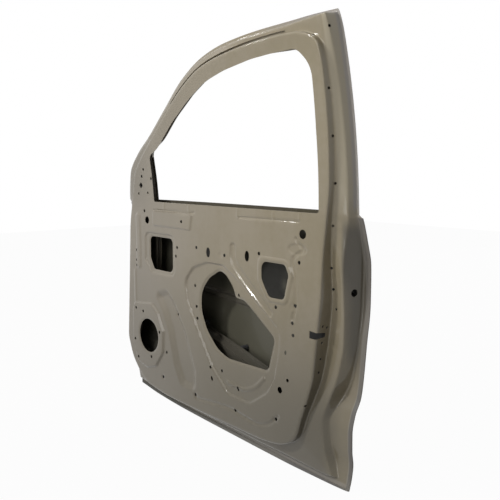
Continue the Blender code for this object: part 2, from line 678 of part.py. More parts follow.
def lofted_sheet(name, sections, thickness, material, side=-1.0):
    """Make a sheet through open sections that have equal numbers of points."""
    vertices = [point for section in sections for point in section]
    faces = loft_faces(len(sections), len(sections[0]))
    item = add_object(name, vertices, faces, material)
    thicken(item, thickness, side)
    return item


def prism(centre, axis, outline, length):
    """Return the points and faces of a prism whose outline stands across the axis."""
    turn = Vector((0, 0, 1)).rotation_difference(Vector(axis)).to_matrix()
    centre = Vector(centre)
    count = len(outline)
    points = [centre + turn @ Vector((p[0], p[1], height))
              for height in (-length/2.0, length/2.0) for p in outline]
    faces = [tuple(range(count))[::-1], tuple(range(count, 2*count))]
    faces += [(i, (i + 1) % count, count + (i + 1) % count, count + i) for i in range(count)]
    return points, faces


def cutter_object(name, prisms):
    """Join prisms into one hidden cutter."""
    vertices, faces = [], []
    for points, sides in prisms:
        first = len(vertices)
        vertices.extend(points)
        faces.extend(tuple(first + index for index in side) for side in sides)
    item = add_object(name, vertices, faces, MATERIALS["e_coat"])
    orient_outward(item)
    item.hide_render = True
    item.display_type = "WIRE"
    return item


def weld_nut(name, centre, axis, bore):
    """Make a square weld nut with its bore along the axis, standing on centre."""
    turn = Vector((0, 0, 1)).rotation_difference(Vector(axis)).to_matrix()
    centre = Vector(centre)
    count = 12
    across = NUT_ACROSS_FLATS/2.0
    vertices = []
    for height, kind in ((0.0, "outer"), (NUT_HEIGHT, "outer"), (NUT_HEIGHT, "bore"), (0.0, "bore")):
        for step in range(count):
            angle = 2.0*math.pi*step/count
            hexagon = across/math.cos((angle % (math.pi/3.0)) - math.pi/6.0)
            radius = hexagon if kind == "outer" else bore
            local = Vector((radius*math.cos(angle), radius*math.sin(angle), height))
            vertices.append(centre + turn @ local)
    faces = [(ring*count + i, ring*count + (i + 1) % count,
              ((ring + 1) % 4)*count + (i + 1) % count, ((ring + 1) % 4)*count + i)
             for ring in range(4) for i in range(count)]
    return add_object(name, vertices, faces, MATERIALS["zinc"])


# Main pressings
def build_inner_panel(stations):
    """Build the inner panel: trim plane with its cut-outs, and the stepped rim round it."""
    outer = stations[:, 0:2]
    clips = [round_outline(centre, CLIP_HOLE_RADIUS, 6) for centre in CLIP_HOLES]
    bolts = [round_outline(centre, MIRROR_BOLT_RADIUS, 8) for centre in MIRROR_BOLTS]
    holes = [WINDOW, ACCESS_HOLE, FRONT_HOLE, REAR_HOLE, SPEAKER_HOLE]
    holes += [oval_outline(centre, OVAL_SIZE) for centre in OVALS]
    holes += [round_outline(centre, ROUND_HOLE_RADIUS, 10) for centre in ROUND_HOLES]
    holes += clips + bolts
    guides = [guide for feature in PANEL_FEATURES for guide in feature.guides()]
    flat, faces, ring = triangulate(outer, holes, guides, GRID_PITCH)
    height = lean(flat[:, 1]) + emboss(flat)
    vertices = [(x, y, z) for (x, z), y in zip(flat, height)]
    sections = [rim_section(station) for station in stations]
    columns = len(sections[0]) - 1
    first = len(vertices)
    vertices += [point for section in sections for point in section[1:]]
    count = len(sections)
    faces = [tuple(face) for face in faces]
    for i in range(count):
        j = (i + 1) % count
        faces.append((first + i*columns, first + j*columns, ring[j], ring[i]))
    faces += [face[::-1] for face in loft_faces(count, columns, first, closed=True)]
    panel = add_object("inner_panel", vertices, faces, MATERIALS["e_coat"])
    orient_inboard(panel)
    thicken(panel, SHEET)
    return panel


def orient_inboard(item):
    """Make a sheet's faces agree and look inboard on the whole."""
    mesh = bmesh.new()
    mesh.from_mesh(item.data)
    bmesh.ops.recalc_face_normals(mesh, faces=mesh.faces)
    if sum(face.normal.y*face.calc_area() for face in mesh.faces) > 0.0:
        bmesh.ops.reverse_faces(mesh, faces=mesh.faces)
    mesh.to_mesh(item.data)
    mesh.free()


def build_outer_skin(stations):
    """Build the skin, hemmed round the inner panel along its front, lower and rear edges."""
    ring = skirt_stations(stations)
    sections = []
    for station in ring:
        trim, edge = station[0:2], station[2:4]
        along = (edge - trim)/np.linalg.norm(edge - trim)
        flange_end = rim_section(station)
        inner, outer = np.array(flange_end[-2]), np.array(flange_end[-1])
        reach = np.linalg.norm((outer - inner)[[0, 2]])
        back = outer + (inner - outer)*(HEM_RETURN/reach)
        face = skin_y(edge[0], edge[1])

        def place(out, y):
            return np.array([edge[0] + along[0]*out, y, edge[1] + along[1]*out])

        start = edge - along*0.014
        sections.append([
            np.array([start[0], skin_y(start[0], start[1]), start[1]]),
            place(0.0005, face),
            place(0.0019, face - HEM_FOLD/2.0),
            place(0.0005, face - HEM_FOLD),
            np.array([back[0], back[1] - SHEET - FIT, back[2]]),
        ])
    border = np.array([(section[0][0], section[0][2]) for section in sections])
    belt_rear, belt_front = border[-1], border[0]
    count = 18
    belt = [belt_rear + (belt_front - belt_rear)*step/count for step in range(1, count)]
    outer = np.vstack([border, belt])
    handle = [(line, True) for line in handle_guides()]
    holes = [oval_outline((HANDLE_FRONT_X, HANDLE_Z), (0.016, 0.026), 10),
             oval_outline((HANDLE_REAR_X, HANDLE_Z), (0.034, 0.024), 12)]
    rows = [(np.array([(x, z) for x in np.linspace(-0.030, rear(0.015), 18)]), False)
            for z in SKIN_ROWS]
    flat, faces, place_of = triangulate(outer, holes, handle + rows, 0.5)
    height = skin_y(flat[:, 0], flat[:, 1]) - handle_recess(flat)
    vertices = [(x, y, z) for (x, z), y in zip(flat, height)]
    first = len(vertices)
    columns = len(sections[0]) - 1
    vertices += [point for section in sections for point in section[1:]]
    faces = [tuple(face) for face in faces]
    for i in range(len(sections) - 1):
        faces.append((first + i*columns, first + (i + 1)*columns, place_of[i + 1], place_of[i]))
    faces += loft_faces(len(sections), columns, first)
    skin = add_object("outer_skin", vertices, faces, MATERIALS["e_coat"])
    orient_inboard(skin)
    thicken(skin, SHEET, side=-1.0)
    return skin


HANDLE_FRONT_X = REAR_EDGE - 0.262
HANDLE_REAR_X = REAR_EDGE - 0.096
HANDLE_Z = -0.118
HANDLE_RECESS = rounded_outline(
    ((HANDLE_FRONT_X + 0.018, HANDLE_Z - 0.036), (HANDLE_REAR_X - 0.026, HANDLE_Z - 0.036),
     (HANDLE_REAR_X - 0.026, HANDLE_Z + 0.034), (HANDLE_FRONT_X + 0.018, HANDLE_Z + 0.034)),
    0.030, spacing=0.040)
HANDLE_DEPTH = 0.013


def handle_guides():
    """Return the lines along which the handle recess bends."""
    centre = HANDLE_RECESS.mean(0)
    return [centre + (HANDLE_RECESS - centre)*share for share in (1.0, 0.70, 0.38)]


def handle_recess(points):
    """Return how deep the handle recess is at each x, z point."""
    depth = distance_to(points, HANDLE_RECESS, True)
    depth = np.where(inside(points, HANDLE_RECESS), depth, 0.0)
    return HANDLE_DEPTH*smooth(depth/0.022)


def skirt_stations(stations):
    """Return the rim stations that carry the skin, front belt round the sill to rear belt."""
    below = stations[:, 3] < SKIN_TOP + 0.0005
    start = next(i for i in range(len(stations)) if below[i] and not below[i - 1])
    count = int(below.sum())
    ring = np.roll(stations, -start, axis=0)[:count]
    return ring


def build_window_frame(stations):
    """Build the outer half of the window frame, with the groove for the glass run."""
    above = stations[:, 3] > FRAME_FOOT - 0.0005
    start = next(i for i in range(len(stations)) if above[i] and not above[i - 1])
    ring = np.roll(stations, -start, axis=0)[:int(above.sum())]
    sections = []
    for station in ring:
        section = rim_section(station)
        edge, foot = np.array(section[-1]), np.array(section[-2])
        inner = nearest_on_window(station[0:2])
        out = (edge[[0, 2]] - inner)/np.linalg.norm(edge[[0, 2]] - inner)
        sail = smooth((0.20 - edge[0])/0.12)
        run = glass_depth(inner[1])

        def place(reach, depth):
            point = inner + out*reach
            return np.array([point[0], lean(point[1]) + depth, point[1]])

        lap = SHEET + FIT
        groove = RUN_DEPTH + 0.004
        lip = run + RUN_WIDTH/2.0 + 0.004
        face = max(station[8] + 0.004, lip + 0.006)
        sections.append([
            place(0.0020, lap + 0.0004) if sail < 0.5 else place(0.0020, lip - 0.006),
            place(groove, lap + 0.0006) if sail < 0.5 else place(0.0030, lip - 0.004),
            place(groove, lip - 0.001) if sail < 0.5 else place(0.0035, lip - 0.002),
            place(0.0040, lip) if sail < 0.5 else place(0.0040, lip),
            place(0.0050, lip + 0.004),
            np.array([foot[0], foot[1] + 0.006, foot[2]]) + (place(0.0, face) - place(0.0, face)),
            edge + np.array([0.0, lap, 0.0]),
        ])
    return lofted_sheet("window_frame_outer", sections, SHEET, MATERIALS["e_coat"], side=1.0)


def glass_depth(z):
    """Return the depth of the glass line outboard of the leaning frame."""
    return 0.022 + 0.023*float(np.clip(1.0 - z/HEADER, 0.0, 1.0))


def nearest_on_window(point):
    """Return the window outline's nearest point."""
    gap = np.linalg.norm(WINDOW - point, axis=1)
    return WINDOW[int(gap.argmin())]


MATERIALS = {}


# Thick pressings that stand inside the door
def thick_loop(line, thickness):
    """Return the closed loop of an open line thickened to its left, with mitred corners."""
    line = np.asarray(line, float)
    along = np.diff(line, axis=0)
    along /= np.linalg.norm(along, axis=1)[:, None]
    left = np.stack([-along[:, 1], along[:, 0]], -1)
    miter = np.vstack([left[:1], left[:-1] + left[1:], left[-1:]])
    miter /= (miter*np.vstack([left[:1], left[1:], left[-1:]])).sum(1)[:, None]
    return np.vstack([line, (line + miter*thickness)[::-1]])


def loft_pressing(name, sections, thickness, axis, material):
    """Loft thickened lines along an axis.

    A section is its place on the axis and a line of (x, y) points for axis z, or (z, y) for x.
    """
    loops = []
    for place, line in sections:
        loop = thick_loop(line, thickness)
        if axis == "z":
            loops.append([(x, y, place) for x, y in loop])
        else:
            loops.append([(place, y, z) for z, y in loop])
    count = len(loops[0])
    faces = [tuple(range(count)), tuple(range(len(loops)*count - 1, (len(loops) - 1)*count - 1, -1))]
    for row in range(len(loops) - 1):
        faces += [(row*count + i, row*count + (i + 1) % count,
                   (row + 1)*count + (i + 1) % count, (row + 1)*count + i) for i in range(count)]
    item = add_object(name, [point for loop in loops for point in loop], faces, material)
    orient_outward(item)
    return item


def orient_outward(item):
    """Make a closed body's faces look outward."""
    mesh = bmesh.new()
    mesh.from_mesh(item.data)
    bmesh.ops.recalc_face_normals(mesh, faces=mesh.faces)
    if mesh.calc_volume(signed=True) < 0.0:
        bmesh.ops.reverse_faces(mesh, faces=mesh.faces)
    mesh.to_mesh(item.data)
    mesh.free()


def skin_inside(x, z):
    """Return y of the skin's inner face, straight between the rows that the skin bends along."""
    rows = np.array((SKIN_TOP,) + SKIN_ROWS)
    lower = int(np.clip(np.searchsorted(-rows, -z), 1, len(rows) - 1))
    high, low = rows[lower - 1], rows[lower]
    share = (z - high)/(low - high)
    return float(skin_y(x, high)*(1.0 - share) + skin_y(x, low)*share) - SHEET - FIT


def wall_x(stations, z, at_rear):
    """Return x of the first shut-face wall at height z."""
    walls = np.array([(section[2][0], section[2][2]) for section in map(rim_section, stations)])
    side = walls[(walls[:, 0] > 0.5) == at_rear]
    side = side[(side[:, 1] < -0.02) & (side[:, 1] > SILL + 0.12)]
    order = side[:, 1].argsort()
    return float(np.interp(z, side[order, 1], side[order, 0]))


def belt_reinforcements():
    """Build the two reinforcements along the belt, one on each sheet."""
    seat = SHEET + FIT
    hat = ((-0.017, seat), (-0.026, seat), (-0.031, 0.013), (-0.058, 0.013), (-0.063, seat),
           (-0.072, seat))
    places = np.linspace(0.200, rear(0.160), 3)
    loft_pressing("belt_reinforcement_inner", [(x, hat[::-1]) for x in places], SHEET, "x",
                  MATERIALS["e_coat_dark"])
    sections = []
    for x in np.linspace(0.000, rear(0.045), 18):
        line = [(SKIN_TOP - drop, skin_inside(x, SKIN_TOP - drop) - lift)
                for drop, lift in ((0.004, 0.0), (0.018, 0.0), (0.024, 0.012), (0.046, 0.012),
                                   (0.052, 0.004))]
        sections.append((x, line))
    loft_pressing("belt_reinforcement_outer", sections, SHEET, "x", MATERIALS["e_coat_dark"])


def glass_channel(name, path, opening):
    """Build a U-shaped glass run channel along a path of (z, x, y), opening fore or aft."""
    sections = []
    for z, x, y in path:
        half = RUN_WIDTH/2.0
        mouth, back = x + opening*RUN_DEPTH/2.0, x - opening*RUN_DEPTH/2.0
        line = [(mouth, y - half), (back, y - half), (back, y + half), (mouth, y + half)]
        sections.append((z, line[::-1] if opening > 0 else line))
    return loft_pressing(name, sections, RUN_SHEET, "z", MATERIALS["e_coat_dark"])


FRONT_RUN = ((0.118, 0.1380, 0.0345), (0.060, 0.1330, 0.0405), (0.000, 0.1270, 0.0450),
             (-0.190, 0.1060, 0.0560), (-0.360, 0.0870, 0.0580))
REAR_RUN = ((-0.020, rear(0.093), 0.0480), (-0.130, rear(0.100), 0.0560), (-0.300, rear(0.114), 0.0600))


def run_place(path, z):
    """Return x and y of a glass run at height z."""
    heights = [place[0] for place in path][::-1]
    return tuple(float(np.interp(z, heights, [place[axis] for place in path][::-1]))
                 for axis in (1, 2))


def channel_brackets():
    """Build the brackets that hold the two channels off the inner panel."""
    for name, path, z, reach, lift in (("front_channel_bracket", FRONT_RUN, -0.318, 0.030, 0.0),
                                       ("rear_channel_bracket", REAR_RUN, -0.262, -0.020, -0.0009)):
        sections = []
        for height in (z - 0.011, z + 0.011):
            x, y = run_place(path, height)
            seat, face = SHEET + FIT + lift, y - RUN_WIDTH/2.0 - FIT
            line = [(x + reach, seat), (x + 0.35*reach, seat), (x + 0.2*reach, face - 0.0015),
                    (x - 0.2*reach, face - 0.0015)]
            sections.append((height, line))
        loft_pressing(name, sections, 0.0015 if reach < 0 else -0.0015, "z",
                      MATERIALS["e_coat_dark"])


def skin_stiffener():
    """Build the shallow hat that stiffens the middle of the skin."""
    half = STIFFENER_WIDTH/2.0
    sections = []
    for x in np.linspace(0.080, rear(0.110), 14):
        z = -0.304 - 0.016*(x - 0.33)/0.21 if x < 0.54 else -0.320 - 0.008*(x - 0.54)/0.37
        line = [(z + half, skin_inside(x, z + half)), (z + half - 0.008, skin_inside(x, z + half - 0.008)),
                (z + half - 0.012, skin_inside(x, z) - STIFFENER_DEPTH),
                (z - half + 0.012, skin_inside(x, z) - STIFFENER_DEPTH),
                (z - half + 0.008, skin_inside(x, z - half + 0.008)),
                (z - half, skin_inside(x, z - half))]
        sections.append((x, line))
    loft_pressing("skin_stiffener", sections, SHEET, "x", MATERIALS["e_coat"])


BEAM_FRONT_Z = LOWER_HINGE_Z + 0.069
BEAM_PATH = ((0.030, BEAM_FRONT_Z, 0.0700), (0.200, -0.415, 0.0780), (0.380, -0.450, 0.0790),
             (0.560, -0.488, 0.0720), (rear(0.300), -0.523, 0.0590), (rear(0.155), -0.553, 0.0480))


def beam_place(x):
    """Return z and flange depth of the impact beam at x."""
    xs = [place[0] for place in BEAM_PATH]
    return tuple(float(np.interp(x, xs, [place[axis] for place in BEAM_PATH])) for axis in (1, 2))


BEAM_STATIONS = (0.030, 0.110, 0.200, 0.290, 0.380, 0.470, 0.560, 0.640, rear(0.300), rear(0.225),
                 rear(0.155))


def beam_crown(x):
    """Return the depth of the impact beam's crown at x, straight between its sections."""
    crowns = [beam_place(place)[1] - BEAM_DEPTH + 0.004*float(smooth((place - 0.5)/0.4))
              for place in BEAM_STATIONS]
    return float(np.interp(x, BEAM_STATIONS, crowns))


def impact_beam(stations):
    """Build the pressed side-impact beam, its brackets and the mastic pads against the skin."""
    half = BEAM_WIDTH/2.0
    sections = []
    for x in BEAM_STATIONS:
        z, y = beam_place(x)
        crown = beam_crown(x)
        line = [(z + half, y), (z + half - 0.011, y), (z + half - 0.017, crown),
                (z - half + 0.017, crown), (z - half + 0.011, y), (z - half, y)]
        sections.append((x, line))
    loft_pressing("impact_beam", sections, -BEAM_SHEET, "x", MATERIALS["e_coat"])
    front, lap = BEAM_STATIONS[0], 0.052
    z = beam_place(front + lap/2.0)[0]
    near, far = beam_crown(front) - FIT, beam_crown(front + lap) - FIT
    sections = []
    for height in (z - 0.024, z + 0.024):
        x = wall_x(stations, height, False) + SHEET + FIT
        sections.append((height, [(x, 0.014), (x, near - 0.007), (x + 0.006, near - 0.001),
                                  (front, near), (front + lap, far)]))
    loft_pressing("beam_front_bracket", sections, -PLATE, "z", MATERIALS["e_coat_dark"])
    end, lap = BEAM_STATIONS[-1], 0.060
    z = beam_place(end - lap/2.0)[0]
    near, far = beam_crown(end) - 1.5*FIT, beam_crown(end - lap) - 1.5*FIT
    sections = []
    for height in sorted({z - 0.022, z + 0.022, *wall_breaks(stations, z - 0.022, z + 0.022)}):
        x = wall_x(stations, height, True) - SHEET - FIT
        sections.append((height, [(x, 0.0075), (x, 0.0165), (end, near), (end - lap, far)]))
    loft_pressing("beam_rear_bracket", sections, PLATE, "z", MATERIALS["e_coat_dark"])
    pads = ((0.120, 1), (0.330, 1), (0.540, 1), (rear(0.270), 1), (0.150, -1), (0.360, -1))
    for number, (x, side) in enumerate(pads, 1):
        z = beam_place(x)[0]
        mastic_pad(f"anti_flutter_pad_{number}", x, z + side*(half - 0.006))


def wall_breaks(stations, low, high):
    """Return the heights between two limits at which the rear wall changes direction."""
    walls = [rim_section(station)[2] for station in stations]
    return [point[2] for point in walls if point[0] > 0.5 and low < point[2] < high]


def beam_flange(x):
    """Return the depth of the impact beam's flanges at x, straight between its sections."""
    return float(np.interp(x, BEAM_STATIONS, [beam_place(place)[1] for place in BEAM_STATIONS]))


def mastic_pad(name, x, z):
    """Build a squeezed mastic drop between the beam and the skin."""
    outline = round_outline((x, z), PAD_RADIUS*0.7, 10)
    inner = [(px, beam_flange(px) + BEAM_SHEET + FIT, pz) for px, pz in outline]
    outer = [(px, skin_inside(px, pz) - FIT, pz) for px, pz in outline]
    faces = [tuple(range(10)), tuple(range(19, 9, -1))]
    faces += [(i, (i + 1) % 10, 10 + (i + 1) % 10, 10 + i) for i in range(10)]
    orient_outward(add_object(name, inner + outer, faces, MATERIALS["mastic"]))


def wall_plate(name, stations, centre_z, half, at_rear, leg, thickness):
    """Build an angle plate on the cavity side of a shut-face wall, its leg on the trim plane."""
    side = -1.0 if at_rear else 1.0
    sections = []
    for z in (centre_z - half, centre_z + half):
        x = wall_x(stations, z, at_rear) + side*(SHEET + FIT)
        seat = SHEET + FIT
        sections.append((z, [(x, WALL_PLATE_REACH), (x, 0.009), (x + side*0.008, seat),
                             (x + side*leg, seat)]))
    return loft_pressing(name, sections, side*thickness, "z", MATERIALS["e_coat_dark"])


WALL_PLATE_REACH = 0.044


def hinge_parts(stations, panel):
    """Build the reinforcements and weld nuts of the hinges and the check strap."""
    normal = Vector((1.0, 0.0, -HINGE_LEAN)).normalized()
    drills = []
    for label, centre_z, pitch, half in (
            ("upper_hinge", HINGE_Z, HINGE_BOLT_PITCH, 0.038),
            ("check_strap", CHECK_Z, CHECK_BOLT_PITCH, 0.038),
            ("lower_hinge", LOWER_HINGE_Z, HINGE_BOLT_PITCH, 0.033)):
        plate = wall_plate(label + "_reinforcement", stations, centre_z, half, False, 0.030, PLATE)
        bolts = []
        for number, step in enumerate((0.5, -0.5), 1):
            z = centre_z + step*pitch
            face = Vector((wall_x(stations, z, False), HINGE_Y, z))
            bolts.append(prism(face, normal, round_outline((0.0, 0.0), HINGE_BOLT_RADIUS, 12), 0.016))
            seat = SHEET + PLATE + 2.0*FIT
            weld_nut(f"{label}_nut_{number}", face + normal*seat, normal, HINGE_BOLT_RADIUS - 0.0008)
        if label == "check_strap":
            half, deep = CHECK_SLOT[0]/2.0, CHECK_SLOT[1]/2.0
            slot = [(v, u) for u, v in rounded_outline(
                ((-half, -deep), (half, -deep), (half, deep), (-half, deep)), 0.004,
                spacing=0.1, turn=45.0)]
            bolts.append(prism((wall_x(stations, centre_z, False), HINGE_Y, centre_z), normal,
                               slot, 0.016))
        cutter = cutter_object("cut_" + label, bolts)
        cut_with(plate, cutter)
        drills.append(cutter)
    for cutter in drills:
        cut_with(panel, cutter)


LATCH_BOLTS = ((0.021, -0.306), (0.037, -0.312), (0.024, -0.352))


def latch_parts(stations, panel):
    """Build the latch reinforcement and cut the striker notch and the latch bolts."""
    height, leg, thickness = LATCH_PLATE
    plate = wall_plate("latch_reinforcement", stations, LATCH_Z - 0.005, height/2.0, True, leg,
                       thickness)
    normal = Vector((1.0, 0.0, -LATCH_DRAFT)).normalized()
    holes = [prism((wall_x(stations, z, True), y, z), normal,
                   round_outline((0.0, 0.0), LATCH_BOLT_RADIUS, 8), 0.016) for y, z in LATCH_BOLTS]
    edge = wall_x(stations, LATCH_Z, True)
    lower = ((edge - 0.031, -0.3175), (edge + 0.012, -0.3215), (edge + 0.012, -0.3405),
             (edge - 0.031, -0.3405))
    upper = ((edge - 0.012, -0.3260), (edge + 0.012, -0.3260), (edge + 0.012, -0.3360),
             (edge - 0.012, -0.3360))
    points = [(x, -0.010, z) for x, z in lower] + [(x, 0.034, z) for x, z in upper]
    faces = [(0, 1, 2, 3), (7, 6, 5, 4), (0, 4, 5, 1), (1, 5, 6, 2), (2, 6, 7, 3), (3, 7, 4, 0)]
    notch = cutter_object("cut_latch", holes + [(points, faces)])
    cut_with(plate, notch)
    cut_with(panel, notch)


def mirror_parts():
    """Build the plate and the weld nuts behind the mirror."""
    seat = SHEET + FIT
    sections = []
    for z in (0.004, 0.032, 0.060, 0.087, 0.112):
        left = 0.052 + 0.55*max(z - 0.05, 0.0)
        right = 0.140 - 0.10*max(z - 0.05, 0.0)
        y = float(lean(z)) + seat
        sections.append((z, [(right, y + 0.005), (right - 0.002, y), (left, y)]))
    plate = loft_pressing("mirror_reinforcement", sections, -0.0015, "z", MATERIALS["e_coat_dark"])
    holes = [prism((x, float(lean(z)), z), (0.0, 1.0, 0.0),
                   round_outline((0.0, 0.0), MIRROR_BOLT_RADIUS, 8), 0.010)
             for x, z in MIRROR_BOLTS]
    holes += [prism((x, float(lean(z)), z), (0.0, 1.0, 0.0),
                    round_outline((0.0, 0.0), 0.0070, 8), 0.010)
              for x, z in ((0.0931, 0.0760), (0.0855, 0.0456))]
    cut_with(plate, cutter_object("cut_mirror", holes))
    for number, (x, z) in enumerate(MIRROR_BOLTS, 1):
        weld_nut(f"mirror_nut_{number}", (x, float(lean(z)) + seat + 0.0015 + 2.0*FIT, z),
                 (0.0, 1.0, 0.0), MIRROR_BOLT_RADIUS - 0.0008)


def header_channel(stations):
    """Build the weatherstrip retainer that lies in the groove of the header."""
    ring = [station for station in stations
            if 0.20 < station[3] and station[0] < rear(0.135) and station[0] > 0.20]
    ring.sort(key=lambda station: station[0])
    loops = []
    for station in ring:
        section = rim_section(station)
        inner, outer = np.array(section[4]), np.array(section[5])
        along = (outer - inner)/np.linalg.norm(outer - inner)
        up = np.array([0.0, -1.0, 0.0])
        low, high = inner + along*0.0030, outer - along*0.0020
        wall = low + up*0.0070
        loop = [low + up*FIT, high + up*FIT, high + up*(FIT + SHEET),
                low + along*SHEET + up*(FIT + SHEET), wall + along*SHEET, wall]
        loops.append(loop)
    faces = [tuple(range(6)), tuple(range(len(loops)*6 - 1, (len(loops) - 1)*6 - 1, -1))]
    for row in range(len(loops) - 1):
        faces += [(row*6 + i, row*6 + (i + 1) % 6, (row + 1)*6 + (i + 1) % 6, (row + 1)*6 + i)
                  for i in range(6)]
    orient_outward(add_object("header_channel", [point for loop in loops for point in loop], faces,
                              MATERIALS["e_coat"]))


SHUT_FACE_HOLES = (
    (rear(0.052), 0.025, 0.1850), (rear(0.0525), 0.025, 0.300), (rear(0.0600), 0.028, -0.0400),
    (rear(0.0660), 0.035, -0.1540),
)


def rim_holes(panel):
    """Cut the holes in the shut faces."""
    holes = [prism((rear(0.026), 0.080, -0.2166), (1.0, 0.0, 0.0),
                   round_outline((0.0, 0.0), 0.0100, 10), 0.040)]
    holes += [prism((x, y, z), (0.0, 1.0, 0.0), round_outline((0.0, 0.0), SHUT_HOLE_RADIUS, 6), 0.012)
              for x, y, z in SHUT_FACE_HOLES]
    cut_with(panel, cutter_object("cut_shut_face", holes))


def main():
    """Build every piece of the door shell."""
    clear_scene()
    MATERIALS["e_coat"] = finish_material("e_coat", E_COAT, 0.35, coat=0.5)
    MATERIALS["e_coat_dark"] = finish_material("e_coat_dark", E_COAT_DARK, 0.45)
    MATERIALS["zinc"] = finish_material("zinc", ZINC, 0.40, metallic=0.8)
    MATERIALS["mastic"] = finish_material("mastic", MASTIC, 0.80)
    door = bpy.data.objects.new("door_frame", None)
    bpy.context.scene.collection.objects.link(door)
    door.location = (0.0, -HINGE_Y, -HINGE_Z)
    stations = rim_stations()
    panel = build_inner_panel(stations)
    build_outer_skin(stations)
    build_window_frame(stations)
    header_channel(stations)
    belt_reinforcements()
    glass_channel("front_glass_channel", FRONT_RUN, 1.0)
    glass_channel("rear_glass_channel", REAR_RUN, -1.0)
    channel_brackets()
    skin_stiffener()
    impact_beam(stations)
    hinge_parts(stations, panel)
    latch_parts(stations, panel)
    mirror_parts()
    rim_holes(panel)


main()
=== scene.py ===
"""Front right-hand door shell of a pickup, finely pressed and electro-coated, in a plain studio.

The pressings are modelled in the door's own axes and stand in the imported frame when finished:
x runs rearward from the hinge face, y outboard from the trim plane, z up from the belt.
"""

import logging
import math
from collections.abc import Callable
from dataclasses import dataclass, field
from enum import Enum

import bmesh
import bpy
import numpy as np
from mathutils import Matrix, Vector
from mathutils.geometry import delaunay_2d_cdt

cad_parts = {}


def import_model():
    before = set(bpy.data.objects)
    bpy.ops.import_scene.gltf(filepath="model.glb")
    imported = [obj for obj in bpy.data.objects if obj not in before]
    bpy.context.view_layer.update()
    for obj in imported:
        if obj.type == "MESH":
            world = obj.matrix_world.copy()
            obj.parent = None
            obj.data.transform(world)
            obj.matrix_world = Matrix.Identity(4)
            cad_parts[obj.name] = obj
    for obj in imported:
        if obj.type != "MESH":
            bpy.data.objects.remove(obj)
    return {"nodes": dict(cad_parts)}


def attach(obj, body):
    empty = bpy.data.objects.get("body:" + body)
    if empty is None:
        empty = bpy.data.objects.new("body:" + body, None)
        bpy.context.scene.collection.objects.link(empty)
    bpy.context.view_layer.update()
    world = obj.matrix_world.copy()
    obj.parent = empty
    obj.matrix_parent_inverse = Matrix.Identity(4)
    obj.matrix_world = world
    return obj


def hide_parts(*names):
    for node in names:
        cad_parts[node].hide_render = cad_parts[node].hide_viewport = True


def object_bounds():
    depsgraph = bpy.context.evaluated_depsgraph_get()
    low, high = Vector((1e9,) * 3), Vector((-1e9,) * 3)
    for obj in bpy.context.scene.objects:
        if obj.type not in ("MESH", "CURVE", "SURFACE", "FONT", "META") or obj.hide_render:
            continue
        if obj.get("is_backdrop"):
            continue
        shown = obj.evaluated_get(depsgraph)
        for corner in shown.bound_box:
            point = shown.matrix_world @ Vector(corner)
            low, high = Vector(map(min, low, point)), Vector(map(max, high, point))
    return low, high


log = logging.getLogger("door")

# The door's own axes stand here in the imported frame
HINGE_Y = 0.030
HINGE_Z = -0.150
ORIGIN = np.array([0.0, -HINGE_Y, -HINGE_Z])

# Overall sizes
REAR_EDGE = 1.020
SILL = -0.734
HEADER = 0.4857
FRONT_REACH = 0.046
LEAN_RADIUS = 1.7

# Sheet and fits
SHEET = 0.0008
FIT = 0.0003
HEM_FOLD = 0.0030
HEM_RETURN = 0.0090
FILLET = 0.0050

# Hinge and latch faces
HINGE_SPACING = 0.300
HINGE_LEAN = 0.070
HINGE_BOLT_PITCH = 0.044
HINGE_BOLT_RADIUS = 0.0050
CHECK_RISE = 0.005
CHECK_BOLT_PITCH = 0.056
LATCH_Z = -0.325
LATCH_LEAN = 0.116
LATCH_BOLT_RADIUS = 0.0035
LATCH_BOLTS = ((0.021, -0.306), (0.037, -0.312), (0.024, -0.352))
LATCH_PINS = ((0.025, -0.397), (0.023, -0.434), (0.0035, -0.530))
LATCH_PIN_RADIUS = 0.0034
SHUT_HOLE_RADIUS = 0.0035
DRAIN_HOLE_RADIUS = 0.0100
PUNCH_REACH = 0.016
SIGHT_PUNCH_REACH = 0.030

# Openings
SPEAKER_CENTRE = (0.1255, -0.4826)
SPEAKER_RADIUS = 0.0594
ROUND_HOLE_RADIUS = 0.0125
CLIP_HOLE_RADIUS = 0.0052
OVAL_SIZE = (0.019, 0.031)
BELT_INNER = -0.0088
BELT_OUTER = -0.0070
SKIN_TOP = -0.020
FRAME_FOOT = -0.009

# Glass run
RUN_WIDTH = 0.016
RUN_DEPTH = 0.014
GROOVE_SETBACK = 1.166
GROOVE_SHOWN = 0.004
RUN_BEND = 0.0030

# Outer handle
HANDLE_FRONT_X = REAR_EDGE - 0.262
HANDLE_REAR_X = REAR_EDGE - 0.096
HANDLE_Z = -0.118
HANDLE_DEPTH = 0.013
HANDLE_RAMP = 0.022

# Pressed features
RELIEF = 1.25
CRISPNESS = 0.80
FEATURE_FADE = 0.010
DIMPLE_DEPTH = 0.0014
DIMPLE_FLAT = 0.006
DIMPLE_RAMP = 0.005

# Mesh finenesses
RIM_SPACING = 0.0065
RIM_TURN = 4.0
OUTLINE_SPACING = 0.004
OUTLINE_TURN = 9.0
ARC_SHARE = 0.48
CLOSEST = 0.0006
PANEL_PITCH = 0.0037
LEVEL = 0.00005
SKIN_PITCH = 0.0085
SMOOTH_ANGLE = math.radians(32.0)
EVEN_OUT = 5
DENSE_STEPS = 6400
BELT_STEPS = 160
RUN_STEPS = 60

# The photograph's camera
LENS = 48.24
SENSOR = 36.0
AZIMUTH = math.radians(49.35)
ELEVATION = math.radians(7.08)
CAMERA_PLACE = (2.11565, -1.27174, 0.25915)

# Surround and floor
AMBIENT = 0.11
FLOOR_WHITE = 0.97
FLOOR_SIZE = 14.0


class Slot(Enum):
    """The record's material slots."""

    E_COAT = "e_coat"
    E_COAT_DARK = "e_coat_dark"
    ZINC = "zinc"
    MASTIC = "mastic"


